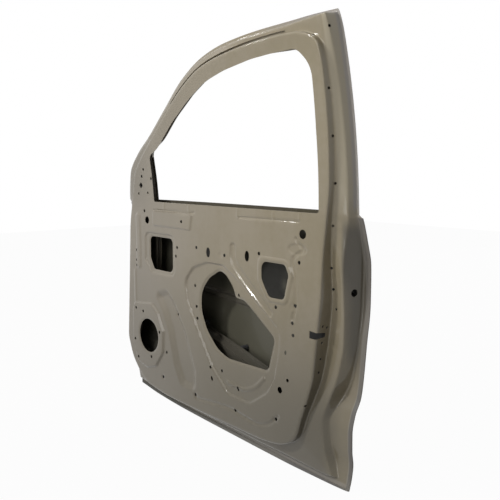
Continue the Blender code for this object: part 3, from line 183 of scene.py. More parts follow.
@dataclass(frozen=True)
class Rim:
    """One place on the panel's rim, from the trim-plane edge out to the hem edge."""

    trim: tuple[float, float]
    edge: tuple[float, float]
    flange: float
    draft: float
    land_in: float
    land_out: float
    rim: float = 0.07

    def row(self) -> list[float]:
        """Return the rim as one row of numbers."""
        return [*self.trim, *self.edge, self.flange, self.draft, self.land_in, self.land_out, self.rim]


def rear(distance: float) -> float:
    """Return x at a distance forward of the rear edge."""
    return REAR_EDGE - distance


def sill(height: float) -> float:
    """Return z at a height above the sill."""
    return SILL + height


def top(drop: float) -> float:
    """Return z at a drop below the header."""
    return HEADER - drop


def hinge_trim(z: float) -> tuple[float, float]:
    """Return the trim-plane edge beside the hinge face, which leans forward towards the sill."""
    return (HINGE_LEAN*(z - HINGE_Z) + FILLET, z)


def latch_trim(z: float) -> tuple[float, float]:
    """Return the trim-plane edge beside the latch face, a straight line."""
    return (rear(0.079) + LATCH_LEAN*(z + 0.235), z)


HINGE_TOP = HINGE_Z + 0.050
LOWER_HINGE_Z = HINGE_Z - HINGE_SPACING
HINGE_FOOT = LOWER_HINGE_Z - 0.050
CHECK_Z = (HINGE_Z + LOWER_HINGE_Z)/2.0 + CHECK_RISE
CORNER_Z = sill(0.115)


def below_hinge(share: float) -> float:
    """Return a height between the foot of the hinge face and the lower front corner."""
    return HINGE_FOOT + share*(CORNER_Z - HINGE_FOOT)


RIMS = (
    # Lower edge, front to rear
    Rim((0.045, CORNER_Z), (-0.012, sill(0.036)), 0.034, 0.006, 0.026, 0.028),
    Rim((0.100, sill(0.079)), (0.095, sill(0.021)), 0.032, 0.005, 0.027, 0.029),
    Rim((0.250, sill(0.060)), (0.250, sill(0.009)), 0.030, 0.005, 0.028, 0.030),
    Rim((0.450, sill(0.058)), (0.450, sill(0.001)), 0.030, 0.005, 0.028, 0.031),
    Rim((rear(0.320), sill(0.058)), (rear(0.320), sill(-0.005)), 0.030, 0.005, 0.028, 0.031),
    Rim((rear(0.245), sill(0.064)), (rear(0.220), sill(-0.006)), 0.032, 0.006, 0.028, 0.031),
    Rim((rear(0.200), sill(0.078)), (rear(0.110), sill(-0.005)), 0.040, 0.008, 0.026, 0.030),
    Rim((rear(0.178), sill(0.092)), (rear(0.000), sill(0.000)), 0.060, 0.009, 0.024, 0.029),
    # Rear edge, going up
    Rim((rear(0.163), sill(0.110)), (rear(0.000), sill(0.060)), 0.080, 0.009, 0.023, 0.028),
    Rim((rear(0.144), sill(0.164)), (rear(0.000), sill(0.159)), 0.090, 0.009, 0.025, 0.030),
    Rim((rear(0.122), sill(0.224)), (rear(0.000), sill(0.229)), 0.070, 0.009, 0.032, 0.034),
    Rim(latch_trim(-0.450), (rear(0.000), -0.450), 0.050, 0.006, 0.040, 0.040),
    Rim(latch_trim(-0.400), (rear(0.000), -0.400), 0.042, 0.006, 0.046, 0.046),
    Rim(latch_trim(-0.350), (rear(0.000), -0.350), 0.037, 0.006, 0.050, 0.050),
    Rim(latch_trim(-0.290), (rear(0.000), -0.290), 0.036, 0.006, 0.050, 0.050),
    Rim(latch_trim(-0.235), (rear(0.001), -0.235), 0.035, 0.006, 0.047, 0.047),
    Rim((rear(0.0735), -0.130), (rear(-0.002), -0.130), 0.030, 0.009, 0.035, 0.036),
    Rim((rear(0.0645), -0.042), (rear(-0.001), -0.040), 0.022, 0.010, 0.0255, 0.042),
    Rim((rear(0.0625), -0.022), (rear(0.001), -0.021), 0.018, 0.010, 0.0240, 0.042),
    Rim((rear(0.0605), -0.006), (rear(0.010), -0.009), 0.009, 0.010, 0.0228, 0.042, 0.072),
    # Window frame: rear pillar, corner, header, sail
    Rim((rear(0.054), 0.060), (rear(0.013), 0.060), 0.008, 0.010, 0.0225, 0.042, 0.072),
    Rim((rear(0.050), 0.220), (rear(0.017), 0.220), 0.008, 0.009, 0.0225, 0.040, 0.072),
    Rim((rear(0.049), top(0.130)), (rear(0.020), top(0.120)), 0.009, 0.007, 0.0220, 0.036, 0.072),
    Rim((rear(0.0505), top(0.091)), (rear(0.022), top(0.045)), 0.012, 0.008, 0.0210, 0.029, 0.072),
    Rim((rear(0.058), top(0.0757)), (rear(0.029), top(0.000)), 0.015, 0.010, 0.0205, 0.024, 0.070),
    Rim((rear(0.0845), top(0.0597)), (rear(0.070), top(0.0010)), 0.016, 0.010, 0.0200, 0.023, 0.066),
    Rim((rear(0.116), top(0.0520)), (rear(0.116), top(0.0027)), 0.017, 0.010, 0.0200, 0.023, 0.062),
    Rim((rear(0.170), top(0.0511)), (rear(0.173), top(0.0055)), 0.018, 0.010, 0.0200, 0.023, 0.060),
    Rim((rear(0.287), top(0.0557)), (rear(0.302), top(0.0110)), 0.018, 0.010, 0.0200, 0.023, 0.056),
    Rim((rear(0.420), top(0.0700)), (rear(0.445), top(0.0250)), 0.018, 0.010, 0.0190, 0.027, 0.050),
    Rim((rear(0.521), top(0.0907)), (rear(0.556), top(0.0505)), 0.017, 0.010, 0.0180, 0.025, 0.045),
    Rim((rear(0.639), top(0.1427)), (rear(0.676), top(0.1040)), 0.016, 0.010, 0.0170, 0.023, 0.041),
    Rim((0.2615, top(0.2217)), (0.225, top(0.1880)), 0.015, 0.010, 0.0160, 0.021, 0.036),
    Rim((0.151, top(0.3037)), (0.112, top(0.2740)), 0.014, 0.010, 0.0150, 0.019, 0.032),
    Rim((0.082, 0.122), (0.032, 0.155), 0.014, 0.010, 0.0145, 0.018, 0.030),
    Rim((0.048, 0.080), (-0.022, 0.100), 0.015, 0.010, 0.0150, 0.018, 0.030),
    Rim((0.034, 0.030), (-0.040, 0.040), 0.017, 0.010, 0.0180, 0.021, 0.031),
    # Hinge face, going down
    Rim((0.024, -0.020), (-FRONT_REACH, -0.012), 0.020, 0.008, 0.0240, 0.026, 0.034),
    Rim(hinge_trim(HINGE_TOP), (-FRONT_REACH, -0.090), 0.024, 0.005, 0.0480, 0.050),
    Rim(hinge_trim(HINGE_Z), (-FRONT_REACH, -0.150), 0.024, 0.005, 0.0540, 0.056),
    Rim(hinge_trim(CHECK_Z), (-FRONT_REACH, CHECK_Z), 0.024, 0.005, 0.0560, 0.058),
    Rim(hinge_trim(LOWER_HINGE_Z + 0.050), (-FRONT_REACH, LOWER_HINGE_Z + 0.050),
        0.024, 0.005, 0.0540, 0.056),
    Rim(hinge_trim(LOWER_HINGE_Z - 0.020), (-FRONT_REACH, LOWER_HINGE_Z - 0.022),
        0.024, 0.005, 0.0490, 0.051),
    Rim(hinge_trim(HINGE_FOOT), (-FRONT_REACH + 0.003, HINGE_FOOT - 0.006),
        0.024, 0.005, 0.0430, 0.045),
    Rim((-0.005, below_hinge(0.42)), (-FRONT_REACH + 0.012, below_hinge(0.42) - 0.030),
        0.026, 0.005, 0.0330, 0.035),
    Rim((0.014, below_hinge(0.72)), (-FRONT_REACH + 0.020, below_hinge(0.72) - 0.054),
        0.030, 0.006, 0.0270, 0.029),
)

# Height and depth of the skin along the rear edge
SKIN_PROFILE = (
    (0.010, 0.067), (-0.021, 0.0755), (-0.080, 0.0924), (-0.141, 0.1075), (-0.235, 0.1125),
    (-0.350, 0.100), (-0.450, 0.089), (-0.492, 0.081), (-0.535, 0.059), (-0.580, 0.049),
    (-0.630, 0.050), (-0.668, 0.055), (-0.700, 0.051), (-0.734, 0.041), (-0.745, 0.037),
)
SKIN_CROWN = 0.012
FRONT_TUCK = 0.034
TUCK_START = 0.40
TUCK_LENGTH = 0.45
TUCK_RISE = 0.60


# Curves and outlines
def smooth(share: np.ndarray | float) -> np.ndarray:
    """Ease a share from 0 to 1."""
    share = np.clip(share, 0.0, 1.0)
    return share*share*(3.0 - 2.0*share)


def unit(vector: np.ndarray) -> np.ndarray:
    """Return a vector's direction."""
    return vector/np.linalg.norm(vector)


def hermite(values: np.ndarray, slopes: np.ndarray, cell: np.ndarray, share: np.ndarray,
            step: np.ndarray) -> np.ndarray:
    """Return the cubic between each cell's ends, at a share of its step."""
    return ((1 + 2*share)*(1 - share)**2*values[cell] + share*(1 - share)**2*step*slopes[cell]
            + share**2*(3 - 2*share)*values[cell + 1] + share**2*(share - 1)*step*slopes[cell + 1])


def monotone_curve(knots: np.ndarray, values: np.ndarray, places: np.ndarray) -> np.ndarray:
    """Interpolate values without overshoot.

    Args:
        knots: rising places at which the values are known.
        values: the known values.
        places: where values are wanted.

    Returns:
        The values at the places.
    """
    knots, values, places = (np.asarray(item, float) for item in (knots, values, places))
    step = np.diff(knots)
    slope = np.diff(values)/step
    tangent = np.empty_like(values)
    tangent[0], tangent[-1] = slope[0], slope[-1]
    product = slope[:-1]*slope[1:]
    total = slope[:-1] + slope[1:]
    tangent[1:-1] = np.where(product > 0.0, 2.0*product/np.where(total == 0.0, 1.0, total), 0.0)
    cell = np.clip(np.searchsorted(knots, places) - 1, 0, len(step) - 1)
    share = (places - knots[cell])/step[cell]
    return hermite(values, tangent, cell, share, step[cell])


def lean(z: np.ndarray | float) -> np.ndarray:
    """Return how far the window frame has curved inboard at height z, as a negative y."""
    return -np.maximum(z, 0.0)**2/(2.0*LEAN_RADIUS)


def on_frame(point: np.ndarray, depth: float) -> np.ndarray:
    """Return the place at an x, z point and a depth outboard of the frame's curve."""
    return np.array([point[0], float(lean(point[1])) + depth, point[1]])


def skin_y(x: np.ndarray | float, z: np.ndarray | float) -> np.ndarray:
    """Return y of the skin's outer face.

    Args:
        x: how far rearward.
        z: how high.

    Returns:
        How far outboard the face stands there.
    """
    heights = [key[0] for key in SKIN_PROFILE][::-1]
    depths = [key[1] for key in SKIN_PROFILE][::-1]
    depth = monotone_curve(heights, depths, z)
    middle = (REAR_EDGE - FRONT_REACH)/2.0
    half = (REAR_EDGE + FRONT_REACH)/2.0
    crown = SKIN_CROWN*(1.0 - ((x - middle)/half)**2)
    front = np.clip((TUCK_START - x)/TUCK_LENGTH, 0.0, 1.0)
    tuck = FRONT_TUCK*front**2*smooth((z - SILL)/TUCK_RISE)
    return depth + crown - tuck


def corner_arc(before: np.ndarray, corner: np.ndarray, after: np.ndarray, radius: float,
               turn: float) -> list[np.ndarray]:
    """Round one corner of an outline with an arc tangent to both its sides.

    Args:
        before: the corner before it.
        corner: the corner.
        after: the corner after it.
        radius: the arc's radius, less where a side is short.
        turn: degrees of one step.

    Returns:
        The arc's points.
    """
    before, corner, after = (np.asarray(point, float) for point in (before, corner, after))
    toward, away = before - corner, after - corner
    length_in, length_out = np.linalg.norm(toward), np.linalg.norm(away)
    toward, away = toward/length_in, away/length_out
    angle = math.acos(float(np.clip(np.dot(toward, away), -1.0, 1.0)))
    setback = min(radius/math.tan(angle/2.0), ARC_SHARE*length_in, ARC_SHARE*length_out)
    radius = setback*math.tan(angle/2.0)
    bisector = unit(toward + away)
    centre = corner + bisector*radius/math.sin(angle/2.0)
    start, end = corner + toward*setback - centre, corner + away*setback - centre
    first, last = math.atan2(start[1], start[0]), math.atan2(end[1], end[0])
    sweep = (last - first + math.pi) % (2.0*math.pi) - math.pi
    count = max(1, round(abs(math.degrees(sweep))/turn))
    angles = [first + sweep*step/count for step in range(count + 1)]
    return [centre + radius*np.array([math.cos(a), math.sin(a)]) for a in angles]


def rounded_outline(corners: tuple, radius: float | tuple, spacing: float = OUTLINE_SPACING,
                    turn: float = OUTLINE_TURN) -> np.ndarray:
    """Return a closed outline through corners.

    Args:
        corners: x, z of each corner in order.
        radius: one radius for all corners, or one for each.
        spacing: longest step along a straight side.
        turn: degrees of one step round a corner.

    Returns:
        The outline's points.
    """
    count = len(corners)
    radii = radius if isinstance(radius, (list, tuple)) else [radius]*count
    arcs = [corner_arc(corners[i - 1], corners[i], corners[(i + 1) % count], radii[i], turn)
            for i in range(count)]
    outline = []
    for index, arc in enumerate(arcs):
        outline.extend(arc)
        start, end = arc[-1], arcs[(index + 1) % count][0]
        pieces = max(1, round(np.linalg.norm(end - start)/spacing))
        outline.extend(start + (end - start)*step/pieces for step in range(1, pieces))
    outline = np.array(outline)
    keep = [index for index in range(len(outline))
            if np.linalg.norm(outline[index] - outline[index - 1]) > CLOSEST]
    return outline[keep]


def oval_outline(centre: tuple, size: tuple, count: int = 32, tilt: float = 0.0) -> np.ndarray:
    """Return an oval's points, turned by a tilt in degrees.

    Args:
        centre: its centre.
        size: its full width and height.
        count: how many points.
        tilt: how far it is turned.

    Returns:
        The points.
    """
    angles = np.arange(count)*2.0*math.pi/count
    across, along = size[0]/2.0*np.cos(angles), size[1]/2.0*np.sin(angles)
    lie = math.radians(tilt)
    return np.stack([centre[0] + across*math.cos(lie) - along*math.sin(lie),
                     centre[1] + across*math.sin(lie) + along*math.cos(lie)], -1)


def round_outline(centre: tuple, radius: float, count: int = 16) -> np.ndarray:
    """Return a circle's points."""
    return oval_outline(centre, (2.0*radius, 2.0*radius), count)


def inside(points: np.ndarray, outline: np.ndarray) -> np.ndarray:
    """Tell which points lie inside a closed outline.

    Args:
        points: x, z points.
        outline: the outline's points.

    Returns:
        A mask of the points inside.
    """
    x, z = points[:, 0], points[:, 1]
    found = np.zeros(len(points), bool)
    for (ax, az), (bx, bz) in zip(outline, np.roll(outline, -1, 0)):
        if az != bz:
            found ^= ((az > z) != (bz > z)) & (x < (bx - ax)*(z - az)/(bz - az) + ax)
    return found


def distance_to(points: np.ndarray, line: np.ndarray, closed: bool) -> np.ndarray:
    """Return each point's distance to a polyline.

    Args:
        points: x, z points.
        line: the polyline's points.
        closed: whether its end joins its start.

    Returns:
        The distances.
    """
    line = np.asarray(line, float)
    ends = np.roll(line, -1, 0) if closed else line[1:]
    nearest = np.full(len(points), np.inf)
    for start, end in zip(line, ends):
        along = end - start
        offset = points - start
        share = np.clip(offset @ along/max(along @ along, 1e-12), 0.0, 1.0)
        gap = offset - share[:, None]*along
        nearest = np.minimum(nearest, (gap**2).sum(1))
    return np.sqrt(nearest)


def nearest_on(outline: np.ndarray, point: np.ndarray) -> np.ndarray:
    """Return the place on a closed outline nearest to a point.

    Args:
        outline: the outline's points.
        point: the point.

    Returns:
        The nearest place.
    """
    along = np.roll(outline, -1, 0) - outline
    share = ((point - outline)*along).sum(1)/np.maximum((along**2).sum(1), 1e-12)
    places = outline + along*np.clip(share, 0.0, 1.0)[:, None]
    return places[((places - point)**2).sum(1).argmin()]


def curve_through(points: tuple, spacing: float = 0.008) -> np.ndarray:
    """Return a smooth open line through points, as steps of about the spacing.

    Args:
        points: what the line passes through.
        spacing: the length of a step.

    Returns:
        The line's points.
    """
    points = np.asarray(points, float)
    steps = np.linalg.norm(np.diff(points, axis=0), axis=1)
    knots = np.concatenate([[0.0], np.cumsum(steps)])
    count = max(2, round(knots[-1]/spacing))
    places = np.linspace(0.0, knots[-1], count + 1)
    padded = np.vstack([2.0*points[0] - points[1], points, 2.0*points[-1] - points[-2]])
    mean = np.concatenate([steps[:1], (steps[:-1] + steps[1:])/2.0, steps[-1:]])[:, None]
    slope = (padded[2:] - padded[:-2])/2.0/mean
    cell = np.clip(np.searchsorted(knots, places, side="right") - 1, 0, len(points) - 2)
    length = steps[cell][:, None]
    share = ((places - knots[cell])/steps[cell])[:, None]
    return hermite(points, slope, cell, share, length)


# Pressed features of the trim plane. A positive height is sunk outboard, a negative one raised.
@dataclass(frozen=True)
class Plateau:
    """A raised or sunk field with a sloping border."""

    outline: np.ndarray
    height: float
    ramp: float

    def shape(self, points: np.ndarray) -> np.ndarray:
        """Return the field's height at points."""
        depth = distance_to(points, self.outline, True)
        depth = np.where(inside(points, self.outline), depth, 0.0)
        return RELIEF*self.height*smooth(depth/(CRISPNESS*self.ramp))


@dataclass(frozen=True)
class Bead:
    """A rib or groove along a curved line."""

    line: np.ndarray
    width: float
    height: float
    ramp: float

    def shape(self, points: np.ndarray) -> np.ndarray:
        """Return the bead's height at points."""
        depth = self.width/2.0 - distance_to(points, self.line, False)
        return RELIEF*self.height*smooth(depth/(CRISPNESS*self.ramp))


@dataclass(frozen=True)
class Lip:
    """A border bent outboard round an opening."""

    outline: np.ndarray
    width: float
    height: float

    def shape(self, points: np.ndarray) -> np.ndarray:
        """Return the lip's height at points."""
        return self.height*(1.0 - smooth(distance_to(points, self.outline, True)/self.width))


ACCESS_HOLE = rounded_outline(
    ((0.5193, -0.2050), (0.5480, -0.2170), (0.5770, -0.2450), (0.5885, -0.2660), (0.5930, -0.2790),
     (0.6320, -0.2815), (0.6640, -0.3010), (rear(0.2535), -0.372), (rear(0.2815), -0.470),
     (0.556, -0.474), (0.503, -0.455), (0.450, -0.405), (0.4205, -0.3480), (0.4225, -0.2830),
     (0.4620, -0.2360)),
    (0.030, 0.030, 0.050, 0.020, 0.010, 0.030, 0.050, 0.022, 0.018, 0.080, 0.080, 0.090, 0.090,
     0.070, 0.070))
FRONT_HOLE = rounded_outline(
    ((0.131, -0.129), (0.266, -0.129), (0.266, -0.243), (0.153, -0.243), (0.130, -0.205)),
    (0.018, 0.018, 0.020, 0.016, 0.020))
REAR_HOLE = rounded_outline(
    ((rear(0.301), -0.154), (rear(0.205), -0.154), (rear(0.191), -0.182), (rear(0.209), -0.252),
     (rear(0.269), -0.253), (rear(0.301), -0.205)), (0.022, 0.016, 0.022, 0.014, 0.020, 0.026))
SPEAKER_HOLE = round_outline(SPEAKER_CENTRE, SPEAKER_RADIUS, 72)
WINDOW = rounded_outline(
    ((0.167, BELT_INNER), (0.1515, 0.146), (0.200, top(0.320)), (0.308, top(0.2362)),
     (rear(0.6035), top(0.1719)), (rear(0.5095), top(0.1297)), (rear(0.418), top(0.1084)),
     (rear(0.2975), top(0.0920)), (rear(0.220), top(0.0878)), (rear(0.122), top(0.0857)),
     (rear(0.0800), top(0.1300)), (rear(0.084), 0.200), (rear(0.083), BELT_INNER)),
    (0.003, 0.010, 0.200, 0.400, 0.400, 0.300, 0.400, 0.500, 0.500, 0.045, 0.090, 0.500, 0.003),
    spacing=0.005, turn=2.5)
OVALS = ((0.470, -0.154), (rear(0.3645), -0.147))
ROUND_HOLES = ((rear(0.139), -0.0665), (0.1207, -0.0741))
CLIP_HOLES = (
    (0.3325, -0.0665), (0.1045, -0.0430), (0.0475, -0.1855), (0.0475, -0.2214), (0.0475, -0.2400),
    (0.3020, -0.1540), (0.2945, -0.1834), (0.4085, -0.1440), (0.5510, -0.1550),
    (rear(0.312), -0.1340), (rear(0.151), -0.1425), (0.3924, -0.2690), (0.3990, -0.3363),
    (0.4028, -0.3743), (0.2880, -0.3810), (rear(0.241), -0.2770), (rear(0.167), -0.2622),
    (rear(0.175), -0.3106), (rear(0.172), -0.3440), (rear(0.1925), -0.4750),
    (rear(0.241), sill(0.1326)), (0.5985, sill(0.1089)), (0.3943, sill(0.1042)),
    (0.2062, sill(0.1184)), (0.1425, -0.5558), (0.2309, -0.5225), (0.0361, -0.5102),
    (0.1967, -0.4579), (0.0931, -0.4000), (0.0456, -0.3943), (0.4779, -0.5178),
    (0.0560, -0.5740), (0.6109, -0.2690), (0.0931, 0.0760), (0.1520, 0.0694),
)
SLOTS = (((0.8190, -0.3980), (0.008, 0.013), 0.0), ((0.6090, -0.5560), (0.009, 0.016), 0.0),
         ((0.4850, -0.5530), (0.009, 0.015), 20.0), ((0.5290, -0.5190), (0.008, 0.011), 0.0),
         ((0.7970, -0.5100), (0.018, 0.019), 0.0))
MIRROR_BOLTS = ((0.0700, 0.0160), (0.1290, 0.0200), (0.1060, 0.1000))
MIRROR_BOLT_RADIUS = 0.0045
MIRROR_PLUG = rounded_outline(((0.0857, 0.0335), (0.0987, 0.0450), (0.0857, 0.0565), (0.0727, 0.0450)),
                              0.0015, spacing=0.003, turn=20.0)

FEATURES = (
    # Armrest pad, with a groove above it
    Plateau(rounded_outline(((0.157, -0.037), (0.394, -0.037), (0.386, -0.060), (0.380, -0.094),
                             (0.157, -0.092)), 0.010), -0.0032, 0.006),
    Bead(curve_through(((0.165, -0.037), (0.300, -0.038), (0.365, -0.039), (0.398, -0.034))),
         0.010, 0.0020, 0.005),
    # Raised rib beside the hinges
    Bead(curve_through(((0.062, -0.066), (0.064, -0.150), (0.062, -0.236))), 0.034, -0.0026, 0.010),
    Bead(curve_through(((0.035, -0.262), (0.036, -0.368))), 0.020, -0.0014, 0.008),
    # Sunk border of the front hole
    Plateau(rounded_outline(((0.104, -0.114), (0.287, -0.114), (0.287, -0.257), (0.140, -0.257),
                             (0.102, -0.214)), 0.024), 0.0034, 0.007),
    # Speaker land
    Plateau(rounded_outline(((0.018, -0.374), (0.090, -0.367), (0.146, -0.361), (0.186, -0.390),
                             (0.222, -0.450), (0.216, -0.530), (0.170, -0.588), (0.110, -0.606),
                             (0.045, -0.592), (0.014, -0.520)), 0.030), -0.0050, 0.009),
    # Slanting valley between the speaker land and the access hole
    Plateau(rounded_outline(((0.150, -0.322), (0.236, -0.296), (0.292, -0.345), (0.350, -0.430),
                             (0.402, -0.552), (0.400, -0.625), (0.310, -0.625), (0.272, -0.560),
                             (0.240, -0.450), (0.205, -0.385)), 0.030), 0.0085, 0.036),
    # Field round the access hole
    Plateau(rounded_outline(((0.540, -0.182), (0.640, -0.236), (0.740, -0.302), (0.796, -0.340),
                             (0.793, -0.400), (0.774, -0.490), (0.742, -0.538), (0.664, -0.590),
                             (0.560, -0.585), (0.480, -0.515), (0.420, -0.430), (0.352, -0.330),
                             (0.338, -0.258), (0.384, -0.208), (0.456, -0.184)), 0.050),
            0.0048, 0.009),
    # Diagonal ridge above the access hole
    Bead(curve_through(((0.590, -0.126), (0.592, -0.166), (0.640, -0.214), (0.700, -0.258),
                        (0.752, -0.298))), 0.030, 0.0040, 0.009),
    Bead(curve_through(((0.856, -0.082), (0.876, -0.110), (0.846, -0.135), (0.852, -0.190),
                        (0.856, -0.250), (0.846, -0.300))), 0.016, 0.0026, 0.006),
    Bead(curve_through(((0.398, -0.640), (0.574, -0.626), (0.650, -0.634), (0.706, -0.637),
                        (0.752, -0.622), (0.790, -0.590))), 0.014, 0.0022, 0.006),
    Bead(curve_through(((0.724, -0.496), (0.687, -0.530), (0.640, -0.550), (0.560, -0.548))),
         0.016, -0.0024, 0.006),
    Plateau(oval_outline((0.861, -0.109), (0.076, 0.036)), 0.0022, 0.007),
    # Belt recess between its raised marks
    Bead(curve_through(((0.618, -0.037), (0.740, -0.0355), (0.868, -0.0345))), 0.010, 0.0020, 0.005),
    *(Bead(np.array(((x, -0.013), (x, foot))), 0.010, -0.0012, 0.005)
      for x, foot in ((0.612, -0.037), (0.766, -0.037), (0.868, -0.037), (0.227, -0.033),
                      (0.369, -0.033))),
    # Border of the rear hole
    Plateau(rounded_outline(((rear(0.318), -0.138), (rear(0.195), -0.138), (rear(0.172), -0.182),
                             (rear(0.195), -0.266), (rear(0.276), -0.268), (rear(0.318), -0.210)),
                            0.024), -0.0024, 0.006),
    Lip(ACCESS_HOLE, 0.008, 0.0036),
    Lip(FRONT_HOLE, 0.006, 0.0026),
    Lip(REAR_HOLE, 0.006, 0.0026),
    Lip(SPEAKER_HOLE, 0.006, 0.0022),
)
DIMPLES = ((0.842, -0.266), (0.532, -0.156), (0.600, -0.272), (0.288, -0.381), (0.776, -0.602),
           (0.396, -0.630), (0.206, -0.616))


def emboss(points: np.ndarray) -> np.ndarray:
    """Return how far the trim plane is pressed outboard at each x, z point.

    Args:
        points: x, z points.

    Returns:
        The heights, where raised fields are negative.
    """
    height = sum(feature.shape(points) for feature in FEATURES)
    for centre in DIMPLES:
        gap = np.linalg.norm(points - np.array(centre), axis=1)
        height = height + DIMPLE_DEPTH*(1.0 - smooth((gap - DIMPLE_FLAT)/DIMPLE_RAMP))
    return height


# Meshes
def needed(height: np.ndarray) -> np.ndarray:
    """Tell which points of a grid matter: all near a change of height, else every second one.

    Args:
        height: the grid's heights, row by row.

    Returns:
        A mask of the points, as one row.
    """
    rows, columns = height.shape
    padded = np.pad(height, 1, "edge")
    around = [padded[i:i + rows, j:j + columns] for i in range(3) for j in range(3)]
    found = np.max(around, 0) - np.min(around, 0) > LEVEL
    found[::2, ::2] = True
    return found.ravel()


def triangulate(outer: np.ndarray, holes: list[np.ndarray], pitch: float,
                relief: Callable[[np.ndarray], np.ndarray] | None = None
                ) -> tuple[np.ndarray, np.ndarray, list[int]]:
    """Fill the region between outlines with an even mesh.

    Args:
        outer: the outer outline.
        holes: the outlines of the holes.
        pitch: the spacing of the points between the outlines.
        relief: gives the height at points. Where it is level the points are twice as far apart.

    Returns:
        The points, the triangles and the place of each outer point among the points.
    """
    points, edges = [], []
    for line in [outer, *holes]:
        first = len(points)
        points.extend(Vector((float(p[0]), float(p[1]))) for p in line)
        edges.extend((first + i, first + (i + 1) % len(line)) for i in range(len(line)))
    low, high = outer.min(0), outer.max(0)
    columns = np.arange(low[0], high[0], pitch)
    rows = np.arange(low[1], high[1], pitch*0.87)
    grid = np.array([(x + (pitch/2.0 if row % 2 else 0.0), z)
                     for row, z in enumerate(rows) for x in columns])
    keep = inside(grid, outer) & (distance_to(grid, outer, True) > 0.5*pitch)
    for hole in holes:
        near = (np.abs(grid - hole.mean(0)).max(1) < np.ptp(hole, axis=0).max()) & keep
        spot = grid[near]
        keep[near] = ~inside(spot, hole) & (distance_to(spot, hole, True) > 0.5*pitch)
    if relief:
        height = np.zeros(len(grid))
        height[keep] = relief(grid[keep])
        keep &= needed(height.reshape(len(rows), len(columns)))
    points.extend(Vector(point) for point in grid[keep])
    result = delaunay_2d_cdt(points, edges, [], 0, 1e-6)
    found = np.array([tuple(point) for point in result[0]])
    faces = np.array(result[2])
    centres = found[faces].mean(1)
    kept = inside(centres, outer)
    for hole in holes:
        kept &= ~inside(centres, hole)
    origin = {old: new for new, olds in enumerate(result[3]) for old in olds}
    return found, faces[kept], [origin[index] for index in range(len(outer))]


def grid_faces(rows: int, columns: int, first: int = 0, closed: bool = False) -> list[tuple]:
    """Return the quads of a grid of rows, each with the same number of columns.

    Args:
        rows: how many rows.
        columns: how many points in a row.
        first: the number of the first point.
        closed: whether the last row joins the first.

    Returns:
        The quads.
    """
    last = rows if closed else rows - 1
    return [(first + i*columns + j, first + ((i + 1) % rows)*columns + j,
             first + ((i + 1) % rows)*columns + j + 1, first + i*columns + j + 1)
            for i in range(last) for j in range(columns - 1)]


def fillet(before: np.ndarray, corner: np.ndarray, after: np.ndarray, setback: float,
           count: int) -> list[np.ndarray]:
    """Return a soft bend in place of a section's corner, as count points.

    Args:
        before: the corner before it.
        corner: the corner.
        after: the corner after it.
        setback: where the bend starts and ends, from the corner.
        count: how many points.

    Returns:
        The bend's points.
    """
    toward, away = before - corner, after - corner
    reach_in, reach_out = np.linalg.norm(toward), np.linalg.norm(away)
    start = corner + toward/reach_in*min(setback, 0.45*reach_in)
    end = corner + away/reach_out*min(setback, 0.45*reach_out)
    shares = np.linspace(0.0, 1.0, count)
    return [(1 - t)**2*start + 2*t*(1 - t)*corner + t*t*end for t in shares]


def bent(corners: list[np.ndarray], setbacks: list[float], count: int) -> list[np.ndarray]:
    """Return a section whose bends are softened, each by its own setback.

    Args:
        corners: the section's corners.
        setbacks: one for each corner between the ends.
        count: how many points in a bend.

    Returns:
        The section's points.
    """
    line = [corners[0]]
    for before, corner, after, setback in zip(corners, corners[1:], corners[2:], setbacks):
        line += fillet(before, corner, after, setback, count)
    return [*line, corners[-1]]


def prism(centre: tuple, axis: tuple, outline: np.ndarray, length: float
          ) -> tuple[list[Vector], list[tuple]]:
    """Return the points and faces of a prism whose outline stands across the axis.

    Args:
        centre: its centre.
        axis: its direction.
        outline: its outline.
        length: its full length.

    Returns:
        The points and the faces.
    """
    turn = Vector((0, 0, 1)).rotation_difference(Vector(axis)).to_matrix()
    count = len(outline)
    points = [Vector(centre) + turn @ Vector((p[0], p[1], height))
              for height in (-length/2.0, length/2.0) for p in outline]
    faces = [tuple(range(count))[::-1], tuple(range(count, 2*count))]
    faces += [(i, (i + 1) % count, count + (i + 1) % count, count + i) for i in range(count)]
    return points, faces


def placed_mesh(name: str, points: list, faces: list, inboard: bool | None = None
                ) -> bpy.types.Mesh:
    """Make a mesh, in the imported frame, whose faces all look the same way.

    Args:
        name: the mesh's name.
        points: its points, in the door's axes.
        faces: the points of each face.
        inboard: whether an open sheet looks inboard on the whole, or None for a closed solid.

    Returns:
        The mesh.
    """
    mesh = bpy.data.meshes.new(name)
    places = np.array([tuple(point) for point in points], float) + ORIGIN
    mesh.from_pydata(places.tolist(), [], faces)
    mesh.validate()
    shape = bmesh.new()
    shape.from_mesh(mesh)
    bmesh.ops.recalc_face_normals(shape, faces=shape.faces)
    facing = sum(face.normal.y*face.calc_area() for face in shape.faces)
    if inboard is not None and (facing > 0.0) == inboard:
        bmesh.ops.reverse_faces(shape, faces=shape.faces)
    shape.to_mesh(mesh)
    shape.free()
    return mesh


def new_object(name: str, data: bpy.types.ID) -> bpy.types.Object:
    """Make an object that stands in the scene."""
    item = bpy.data.objects.new(name, data)
    bpy.context.scene.collection.objects.link(item)
    return item


